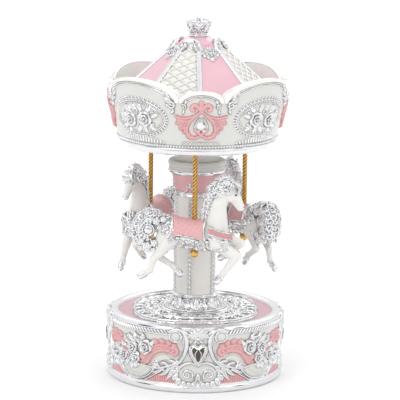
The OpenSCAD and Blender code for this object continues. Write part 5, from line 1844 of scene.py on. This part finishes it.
    def mane(self) -> None:
        """Lay the forelock and the mane, curl by curl."""
        s = Shape()
        rng = np.random.default_rng(40 + self.number)
        crest = midline(
            20.8, 27.2, 18.2, 28.9, 14.6, 28.6, 11, 26.2, 8.5, 22.4, 7.1, 17.4, 6.2, 12.6, 5.8, 9.4, steps=4)
        along = unit(np.gradient(crest, axis=0))
        out = np.stack([along[:, 2], 0 * along[:, 0], -along[:, 0]], -1)
        s.tube(crest - out * 0.9, np.interp(np.arange(len(crest)), (0, 6, 12, 28), (1.6, 3, 2.4, 1.5)), 14)
        s.ball((15, 0, 25.6), (5, 3.5, 3.2), 12, 18)
        for i in range(1, len(crest) - 1):
            p, a, o = crest[i], along[i], out[i]
            full = float(np.interp(i, (0, 5, 12, 28), (1, 1.25, 1, 0.85)))
            for side in (-1, 1):
                for row in range(3 if i < 13 else 2):
                    angle = (0.55 + 0.72 * row + rng.uniform(-0.2, 0.2)) * side
                    way = o * cos(angle) + np.array([0, 1, 0]) * sin(angle)
                    reach = (2.3 + 0.5 * row) * full
                    centre = p - o * (1 + 0.9 * row) + way * reach + a * rng.uniform(-0.6, 0.6)
                    if (i + row) % 2 == 0:
                        self.snail(
                            s, centre + way * 0.35, way + a * 0.2, rng.uniform(1.3, 1.9) * full,
                            rng.uniform(0, 6.3), side)
                    else:
                        tip = centre + a * rng.uniform(1.6, 3.0) + way * rng.uniform(0.2, 0.9)
                        mid = (p + tip) / 2 + way * 1.1 + a * 0.6
                        root = p - o * 0.8 + way * 1.0 - a * 0.6
                        self.lock(
                            s, [root, mid, tip, tip + way * 0.8 - a * 0.7], rng.uniform(0.5, 0.7), a * 0.5)
            lean = np.array([0, rng.uniform(-0.6, 0.6), 0])
            way = o + lean
            pts = [
                p - a - o * 0.4, p + way * 1.3, p + a * 1.6 + way * 2.2 * full,
                p + a * 3.1 + way * rng.uniform(2.0, 3.2) * full]
            pts.append(pts[-1] + way * 0.9 - a * 0.9)
            self.lock(s, pts, rng.uniform(0.6, 0.8), (0, 0.75, 0))
        for y, drop, lean in ((-1.9, 3.2, 0.4), (-0.7, 4.4, 1), (0.7, 4, 1.2), (1.9, 3, 0.5), (0, 1.6, 2)):
            x = 23.0 + 0.35 * lean
            pts = [
                (18.2, y * 0.5, 28.8), (20.8, y, 29.6), (x, y * 1.1, 27.8),
                (x + 0.9, y * 1.3, 27.6 - drop * 0.6), (x + 0.3, y * 1.5, 27.6 - drop),
                (x + 1.2, y * 1.6, 27.2 - drop)]
            self.lock(s, pts, 0.62, (0.1, 0.6, 0))
        for side in (-1, 1):
            for x, z, r in (
                (19.4, 26.6, 1.2), (17.4, 24.6, 1.3), (15, 23.6, 1.2), (21.2, 27.6, 1), (12.6, 23.4, 1.2)
            ):
                self.snail(s, (x, side * 3.1, z), (0.1, side, 0.3), r, rng.uniform(0, 6.3), side)
        self.show(s, "mane", SILVER)

    @staticmethod
    def bloom(s: Shape, x: float, y: float, z: float, r: float, turn: float = 0.0) -> None:
        """Add a small rose that faces sideways.

        Args:
            s: Shape that takes the rose.
            x: Centre along the horse.
            y: Centre across the horse.
            z: Centre up.
            r: Radius of the rose.
            turn: Turn of the petals in radians.
        """
        side = 1 if y > 0 else -1
        for count, far, size, deep in ((5, 0.6, 0.5, 0), (3, 0.28, 0.36, 0.3)):
            for k in range(count):
                a = turn + 2 * pi * k / count + far
                centre = (x + r * far * cos(a), y + side * deep * r, z + r * far * sin(a))
                s.ball(centre, (r * size, r * 0.38, r * size), 7, 10)
        s.ball((x, y + side * 0.5 * r, z), r * 0.2, 6, 8)

    @staticmethod
    def gem(s: Shape, centre: Row, r: float, side: int) -> None:
        """Set a round stone with flat facets into the tail.

        Args:
            s: Shape that takes the stone.
            centre: Its centre.
            r: Its radius.
            side: 1 or -1, the side it looks to.
        """
        x, y, z = centre
        rings = []
        for far, high, turn in ((1, -1, 0), (1, 0.1, 0), (0.78, 0.5, pi / 10), (0.42, 0.85, 0)):
            a = circle(10) * side + turn
            rings.append(
                np.stack([x + r * far * np.cos(a), y + side * high + 0 * a, z + r * far * np.sin(a)], -1))
        s.rings(np.array(rings)[:, ::-1])

    def tail(self) -> None:
        """Wind the tail into its scroll, with the gem and the roses."""
        s = Shape()
        rng = np.random.default_rng(70 + self.number)
        core = midline(
            -17.6, 7.4, -20.6, 10.2, -24.8, 10.4, -28.6, 7.6, -30.6, 2.6, -29.8, -3, -26.6, -6.6, -22.2, -7.8)
        along = unit(np.gradient(core, axis=0))
        out = np.stack([along[:, 2], 0 * along[:, 0], -along[:, 0]], -1)
        t = np.linspace(0, 1, len(core))[:, None]
        swell = np.sin(pi * (0.16 + 0.74 * t)) ** 1.3
        for y in np.linspace(-1, 1, 9):
            for far in (-0.7, 0, 0.5):
                wave = 0.4 * np.sin(t * 9 + rng.uniform(0, 6))
                high = out * (far * 2.1 * swell * sqrt(1.3 - y * y) + wave)
                s.tube(
                    core + high + np.array([0, 1, 0]) * (y * 4.3 * swell + wave),
                    bulge(len(core), 0.25, rng.uniform(0.6, 0.85), 0.45), 8)
        for i in range(1, len(core) - 2, 2):
            for y in (-4.4, -2.2, 0, 2.2, 4.4):
                way = out[i] * cos(y / 4.6) + np.array([0, 1, 0]) * sin(y / 4.6)
                centre = core[i] + way * 3.4 * swell[i] + (
                    0, y * 0.55 * swell[i, 0], 0
                ) + along[i] * rng.uniform(-1.0, 1.0)
                self.snail(
                    s, centre, way + along[i] * rng.uniform(-0.4, 0.4), rng.uniform(1.5, 2.2),
                    rng.uniform(0, 6.3), 1 if y > 0 else -1)
        for side in (-1, 1):
            for k in range(9):
                a = radians(70 + 24 * k)
                rim = np.array([-25 + 3.4 * cos(a), side * 3.6, 2.8 + 3.4 * sin(a)])
                way = np.array([cos(a), 0, sin(a)])
                bend = np.array([-sin(a), 0, cos(a)])
                pts = [
                    rim, rim + way * 1.4 + bend * 0.5 + (0, side * 0.25, 0), rim + way * 2.7 + bend * 0.2,
                    rim + way * 3.7 - bend * 0.9 - (0, side * 0.8, 0)]
                self.lock(s, pts, 0.55, bend * 0.45)
            ring = np.linspace(0, 2 * pi, 30)
            s.tube(
                np.stack([-25 + 3.1 * np.cos(ring), side * 3.7 + 0 * ring, 2.8 + 3.1 * np.sin(ring)], -1),
                0.5, 8)
            self.gem(s, (-25, side * 3.5, 2.8), 2.7, side)
            for x, z, r in (
                (-29.2, -3.8, 1.9), (-25.8, -6.4, 2.5), (-21.9, -4.6, 2), (-19.2, -7.2, 1.7),
                (-17.8, -4.2, 1.6), (-22, -8.4, 1.5), (-29, -7.4, 1.4), (-20.6, 7.8, 2.2), (-16.8, 8.8, 1.7),
                (-24, 9, 1.6), (-18.8, 4.2, 1.5)
            ):
                self.bloom(s, x, side * (4.1 if x < -20 else 4.9), z, r, x)
            for x, z, dx, dz in (
                (-27.2, -5.2, -3.6, -2.8), (-23.8, -7.2, -1.2, -3.2), (-20, -8, 1.4, -2.2),
                (-16.6, -6.4, 3, -0.4), (-16, 9, 3.2, 0.8), (-22, -4.4, 2.6, 1.4), (-18.6, 7.6, 3.4, -1.6)
            ):
                pts = [
                    (x, side * 3.1, z), (x + dx * 0.5 - dz * 0.12, side * 3.7, z + dz * 0.5 + dx * 0.12),
                    (x + dx, side * 3.4, z + dz)]
                s.tube(spline(pts, 4), bulge(9, 0.12, 0.85), 8, 0.6)
        self.show(s, "tail", SILVER)

    def curl(self) -> None:
        """Add the upright scroll on the breast collar."""
        s = Shape()
        for side in (-1, 1):
            t = np.linspace(0, 1, 26)
            a = np.radians(250 - 430 * t)
            r = 2.2 - 1.5 * t
            path = np.stack([19.4 + r * np.cos(a), side * 1.6 + 0 * t, 4.6 + r * np.sin(a)], -1)
            s.tube(path, np.interp(t, (0, 0.5, 1), (0.5, 0.7, 0.45)), 8)
        s.tube(midline(18.2, 1, 20.2, 2.6, 20.9, 5.2, 20.2, 8, steps=4), bulge(13, 0.2, 0.8), 8)
        self.show(s, "curl", SILVER)

    def build(self) -> None:
        """Build the horse without its straps."""
        self.body()
        self.face()
        self.hooves()
        self.mane()
        self.tail()
        if self.collared:
            self.curl()


@dataclass
class Harness:
    """The blanket, floral bands and breast straps, laid on every horse."""

    horses: list[Horse]
    girth: float = 7.4
    most: float = 8.2
    chest_r: float = 8.0
    skin: BVHTree | None = None

    def reach(self, core: Vector, way: Vector, far: float) -> float:
        """Return how far the horse's skin lies from its core, seen from afar."""
        hit = self.skin.ray_cast(core + way * far, -way)
        return far - hit[3] if hit[0] is not None else 0.0

    def on_back(self, u: Array, v: Array, h: Array) -> Array:
        """Lay a sheet over the back: u runs down each side and v forward.

        Args:
            u: Distance down the side from the spine.
            v: Place along the horse.
            h: Relief.

        Returns:
            The points.
        """
        u, v = np.broadcast_arrays(u, v)
        out = np.zeros((*u.shape, 3))
        side_s = self.girth * pi / 2
        for i, s in enumerate(u[:, 0]):
            side = -1 if s > 0 else 1
            a = min(abs(s), side_s) / self.girth
            drop = max(0.0, abs(s) - side_s)
            for j, x in enumerate(v[0]):
                mid = float(np.interp(x, (-17, -10, 0, 10, 17), (1.8, 1.3, -0.4, -0.6, 0.6)))
                way = Vector((0, side * sin(a), cos(a)))
                core = Vector((x, 0, mid - drop * 0.97))
                least = (5.6 if abs(x) < 14 else 4.4) - drop * drop * 0.03
                reach = min(max(self.reach(core, way, 16), least), self.most)
                out[i, j] = core + way * (reach + float(h[i, j]))
        return out

    def on_chest(self, u: Array, v: Array, h: Array) -> Array:
        """Lay a sheet round the chest: u runs across it and v up.

        Args:
            u: Distance round the chest from its middle.
            v: Height.
            h: Relief.

        Returns:
            The points.
        """
        u, v = np.broadcast_arrays(u, v)
        out = np.zeros((*u.shape, 3))
        for i, s in enumerate(u[:, 0]):
            a = s / self.chest_r
            way = Vector((cos(a), sin(a), 0))
            least = 7.6 * abs(cos(a)) + 5.0 * abs(sin(a))
            for j, z in enumerate(v[0]):
                core = Vector((11, 0, z))
                out[i, j] = core + way * (max(self.reach(core, way, 20), least) + float(h[i, j]))
        return out

    def back(self) -> Canvas:
        """Carve the pink saddle blanket over its silver floral band.

        Returns:
            The carved sheet.
        """
        c = Canvas((-20.6, 20.6), (-19.6, 17.4), 0.24)
        c.mirrors = [0]
        c.fill(
            [(12.6, -14.6), (15.6, -14.9), (18.8, -12), (19.6, -6), (19.2, 0), (19.9, 6), (19.4, 11),
            (17.6, 15.6), (13.6, 16.6), (12.4, 12), (12.4, 6.4), (12.2, -12)], 0.55, Paint.SILVER, 0.5)
        for y, x, r in (
            (-12.6, 15.4, 2.3), (-7.6, 16.6, 2.6), (-2.2, 16.4, 2.4), (3.4, 16.8, 2.5), (8.8, 16.4, 2.7),
            (14, 15, 2)
        ):
            c.rose(x, y, r, 1.5, 30 * y, foot=0.5)
        sprigs = (
            (-10, 14.2, 2.6, -0.6), (-10, 17.4, -2.4, 1.6), (-5, 14.6, 1.8, 1.6), (-5, 18, 1.8, 1.6),
            (0.4, 14.8, 2.2, -0.9), (0.6, 17.6, 1.2, 2.2), (6, 14.6, 2.4, -0.9), (6, 18, -1.2, 2),
            (11.6, 14.4, 2.2, -1.4), (11.4, 17.8, 1.8, 1.8), (15.2, 13.4, 1.6, -1.2),
            (-13.8, 13.6, -1.4, -1.6), (-13.6, 17, -1.6, 1.2))
        c.leaves([(x, y, x + dx, y + dy, 0.3, 0.95) for y, x, dy, dx in sprigs], 1.2, 0.5)
        for x, y, r in (
            (0, -16.6, 2.2), (3.6, -18.2, 1.9), (4.2, -14.2, 2.1), (8, -16, 2.3), (7.8, -12.2, 1.6),
            (11.4, -13.6, 1.7)
        ):
            c.rose(x, y, r, 1.8, 40 * y, foot=0.3)
        sprigs = (
            (1.8, -14.8, 1.4, -12), (5.8, -13, 5.2, -10.8), (6, -17.6, 7.4, -19.4), (9.8, -17.2, 12.4, -18),
            (10.2, -14.6, 12.8, -15.8), (1.6, -17.8, 1.4, -19.5), (9.6, -12.8, 9.8, -10.6))
        c.leaves([(*row, 0.4, 0.95) for row in sprigs], 1.3, 0.3)
        skirt = curve(
            -0.2, -12, 4, -12, 8, -12.2, 11, -13, 13.2, -14, 12.6, -10.8, 11.6, -7, 11.5, -2.4, 12, 0.8, 12.8,
            3.4, 13.3, 5.6, 10.8, 5.4, 8, 5, 4, 5.4, -0.2, 5.6, steps=4)
        c.fill(skirt, 1.15, Paint.ROSE, 0.35)
        pink = c.paint == int(Paint.ROSE)
        y, x = c.v[None, :], np.abs(c.u)[:, None]
        seat = 1.3 * np.exp(-(((y + 11.4) / 1.8) ** 2)) + 1.3 * np.exp(-(((y - 5) / 1.8) ** 2))
        seat = seat * np.clip(1 - (x / 7.6) ** 2, 0, 1)
        brocade = 0.1 * np.sin(
            1.9 * x + 0.7 * y
        ) * np.sin(1.7 * y - 0.6 * x) + 0.07 * np.sin(3.1 * x + 2.3 * y) * np.sin(2.9 * y - 2.1 * x)
        c.height = np.where(pink, c.height + seat + brocade, c.height)
        c.stroke(skirt[8:-8], 0.3, 1.5)
        for end in (skirt[:16], skirt[-16:]):
            tall = np.array([1.7 + 1.3 * max(0.0, 1 - (p[0] / 7.6) ** 2) for p in end])
            c.stroke(end, 0.8, tall)
        return c

    def chest(self, collar: bool) -> Canvas:
        """Carve the strap round the breast with the flowers under it.

        Args:
            collar: Whether it is the broad silver collar.

        Returns:
            The carved sheet.
        """
        c = Canvas((-17.5, 17.5), (-8.6, 7.4), 0.22)
        c.mirrors = [0]
        u = np.linspace(0, 16.4, 34)
        mid = -0.6 + 4.4 * (u / 16.4) ** 1.4
        half = 2.6 if collar else 1.8
        ground = Paint.SILVER if collar else Paint.ROSE
        outline = [*zip(u, mid + half), *zip(u[::-1], (mid - half)[::-1])]
        c.fill(outline, 0.9, ground, 0.3)
        if collar:
            for x in np.linspace(0, 15, 6):
                z = -0.6 + 4.4 * (x / 16.4) ** 1.4
                c.rose(x, z, 1.9, 1.3, 30 * x, foot=0.7)
                c.leaf((x + 1.4, z + 0.4), (x + 2.6, z + 2.6), 0.3, 0.7, 1.2, foot=0.5)
        else:
            for i in range(13):
                x = 0.2 + 1.25 * i
                z = -0.6 + 4.4 * (x / 16.4) ** 1.4
                for lean in (0.9, -0.9):
                    c.stroke([(x - lean, z - 1.6), (x + lean, z + 1.6)], 0.2, 1.25, Paint.ROSE)
        for edge in (mid + half, mid - half):
            c.stroke(np.stack([u, edge], -1), 0.34, 1.3)
        for x, z, r in (
            (0, -4.6, 2), (4.2, -4.4, 1.9), (8.4, -4, 2.2), (12.8, -3.2, 2.2), (2.2, -7, 1.3), (6.6, -7, 1.4),
            (11, -6.6, 1.5)
        ):
            c.rose(x, z, r, 1.3, 50 * x, foot=0.25)
        sprigs = (
            (1.8, -3, 3.4, -2.2), (5.8, -3.2, 7.4, -2), (10.2, -2.8, 11.6, -1.2), (14.4, -2.2, 16.2, -0.4),
            (4, -6.2, 4.6, -8.2), (8.6, -6.2, 9, -8.2), (13, -5.2, 14.4, -7.4), (0.6, -6.4, 0, -8.4))
        c.leaves([(*row, 0.3, 0.9) for row in sprigs], 1.1, 0.2)
        return c

    def build(self) -> None:
        """Lay every strap on every horse."""
        points, faces = Horse.trunk().melted(0.6, 6)
        self.skin = BVHTree.FromPolygons([Vector(p) for p in points], [list(map(int, f)) for f in faces])
        sheets = [("back", self.back(), self.on_back, self.horses)]
        for collar in (False, True):
            wearers = [h for h in self.horses if h.collared == collar]
            sheets.append(("breast", self.chest(collar), self.on_chest, wearers))
        for name, canvas, place, wearers in sheets:
            for paint, (spots, corners, deep) in canvas.faces(place).items():
                for horse in wearers:
                    tag = f"horse_{horse.number}_{name}_{paint.name.lower()}"
                    make_piece(tag, spots, corners, paint.finish(), Body.CAROUSEL, (), horse.spot, deep)


@dataclass
class Carousel:
    """The three horses with their twisted poles."""

    turn: float = -4.0
    ring_r: float = 30.4
    pole_r: float = 1.46
    low: float = 74.08
    high: float = 137.03
    pitch: float = 7.8

    def pole(self, number: int) -> None:
        """Twist a pole like a four-strand rope.

        Args:
            number: Number of the pole.
        """
        z = np.linspace(self.low, self.high, int((self.high - self.low) / 0.3))
        a = circle(40)
        twist = 2 * pi * (z - self.low) / self.pitch
        lobes = np.abs(np.cos(2 * (a[None, :] - twist[:, None]))) ** 0.8
        r = self.pole_r * (0.62 + 0.38 * lobes)
        ring = np.stack([r * np.cos(a), r * np.sin(a), z[:, None] + 0 * r], -1)
        shape = Shape()
        shape.rings(ring)
        spin = Matrix.Rotation(radians(self.turn + 120 * (number - 1)), 4, "Z")
        spot = spin @ Matrix.Translation((0, -self.ring_r * MM, 0))
        # The grooves between the strands get the gilt's painted shade.
        deep = np.clip(1.8 - 2.2 * lobes, 0, 1).ravel()
        shape.piece(
            f"pole_{number}_twisted", GILT, Body.CAROUSEL, stands_for=[f"pole_{number}"], place=spot,
            hollow=deep)

    def build(self) -> None:
        """Build the horses, the harness and the poles."""
        horses = [Horse(k + 1, self.turn + 120 * k, k == 2, k == 2) for k in range(3)]
        for horse in horses:
            horse.build()
        Harness(horses).build()
        for k in range(1, 4):
            self.pole(k)
            dress(f"pole_ball_{k}", GILT)


@dataclass
class Movement:
    """Finishes of the movement, which keeps the frame's own shapes."""

    steel: tuple[str, ...] = (
        "bottom_screws", "movement_screws", "comb", "governor_posts", "drive_shaft", "spring_barrel",
        "cylinder_shaft", "governor_fan", "winding_arbor")
    brass: tuple[str, ...] = (
        "bedplate", "comb_block", "cylinder_brackets", "drive_hub", "great_wheel", "pin_cylinder",
        "governor_wheel", "pole_nuts")

    def build(self) -> None:
        """Dress every part of the movement."""
        for node in self.steel:
            dress(node, STEEL)
        for node in self.brass:
            dress(node, BRASS)
        dress("winding_key", GILT)
        dress("bottom_plate", BOARD)


@dataclass
class Studio:
    """A pale floor, soft lights and the camera of the product view, in metres."""

    distance: float = 1.274
    height: float = 0.3461
    pitch: float = 11.04
    yaw: float = -2.4
    roll: float = 0.76
    lens: float = 210.6
    lamps: tuple[tuple[str, Row, Row, float], ...] = (
        ("key_lamp", (-0.9, -1.1, 1.3), (1.0, 1.0), 5.8), ("fill_lamp", (1.2, -0.8, 0.8), (0.9, 1.2), 2.6),
        ("rim_lamp", (0.2, 1.3, 1.1), (1.4, 0.6), 3.9))
    cards: tuple[tuple[str, Row, Row], ...] = (
        ("dark_left", (-1.0, -0.35, 0.2), (0.35, 1.0)), ("dark_right", (0.95, -0.6, 0.2), (0.3, 1.0)),
        ("dark_front", (0.1, -1.6, -0.05), (1.9, 0.42)), ("dark_high", (0.0, -1.5, 0.95), (0.9, 0.16)))

    @staticmethod
    def sheet(name: str, size: Row, finish: Finish) -> bpy.types.Object:
        """Return a flat sheet of one width and height, in metres.

        Args:
            name: Name of the sheet.
            size: Width and height.
            finish: Its finish.

        Returns:
            The new object.
        """
        w, h = size[0] / 2, size[1] / 2
        mesh = bpy.data.meshes.new(name)
        mesh.from_pydata([(-w, -h, 0), (w, -h, 0), (w, h, 0), (-w, h, 0)], [], [(0, 1, 2, 3)])
        mesh.materials.append(finish.material())
        return add_object(name, mesh)

    @staticmethod
    def aim(item: bpy.types.Object, at: Row, axis: str) -> None:
        """Hang an item at a place, with one of its axes towards the object.

        Args:
            item: Lamp or card.
            at: Where it hangs.
            axis: Axis that points at the object.
        """
        item.location = at
        way = Vector((0, 0, 0.1)) - Vector(at)
        item.rotation_euler = way.to_track_quat(axis, "Y").to_euler()

    def floor(self) -> None:
        """Lay a wide pale floor under the object."""
        self.sheet("studio_floor", (8, 8), PAPER)

    def world(self) -> None:
        """Wrap the scene in a near-white sky with a darker band below."""
        sky = bpy.data.worlds.new("studio")
        sky.use_nodes = True
        tree = sky.node_tree
        back = tree.nodes["Background"]
        where = add_node(tree, "ShaderNodeTexCoord")
        split = add_node(tree, "ShaderNodeSeparateXYZ", {0: where.outputs["Generated"]})
        shade = add_node(
            tree, "ShaderNodeMapRange", {"Value": split.outputs["Z"], "From Min": -0.1, "From Max": 0.5,
            "To Min": 0.72, "To Max": 1})
        tree.links.new(shade.outputs["Result"], back.inputs["Color"])
        back.inputs["Strength"].default_value = 1.04
        bpy.context.scene.world = sky

    def lamp(self, name: str, at: Row, size: Row, power: float) -> None:
        """Hang a soft rectangular lamp that looks at the object.

        Args:
            name: Name of the lamp.
            at: Where it hangs, in metres.
            size: Width and height in metres.
            power: Power in watts.
        """
        light = bpy.data.lights.new(name, "AREA")
        light.shape = "RECTANGLE"
        light.size, light.size_y = size
        light.energy = power
        lamp = add_object(name, light)
        self.aim(lamp, at, "-Z")

    def flag(self, name: str, at: Row, size: Row) -> None:
        """Stand a dark card that only the gloss of the finishes sees.

        Args:
            name: Name of the card.
            at: Its centre in metres.
            size: Width and height in metres.
        """
        card = self.sheet(name, size, CARD)
        self.aim(card, at, "Z")
        card.visible_camera = card.visible_diffuse = card.visible_shadow = False

    def camera(self) -> None:
        """Set the long lens at the height and turn of the product view."""
        data = bpy.data.cameras.new("camera")
        data.lens = self.lens
        data.sensor_width = 36.0
        data.clip_end = 20.0
        eye = add_object("camera", data)
        spin = Matrix.Rotation(radians(self.yaw), 4, "Z")
        tilt = Matrix.Rotation(radians(90 - self.pitch), 4, "X")
        lean = Matrix.Rotation(radians(self.roll), 4, "Z")
        at = Matrix.Translation((0.0019, -self.distance, self.height))
        eye.matrix_world = spin @ at @ tilt @ lean
        bpy.context.scene.camera = eye

    def build(self) -> None:
        """Set up the whole studio."""
        self.floor()
        self.world()
        for lamp in self.lamps:
            self.lamp(*lamp)
        for card in self.cards:
            self.flag(*card)
        self.camera()
        bpy.context.scene.view_settings.view_transform = "Standard"


def main() -> None:
    """Build every part of the object, then the studio."""
    logging.basicConfig(level=logging.INFO, format="%(name)s: %(message)s")
    for part in (Base(), Column(), Crown(), Roof(), Carousel(), Movement()):
        part.build()
    Studio().build()


if __name__ == "__main__":
    main()
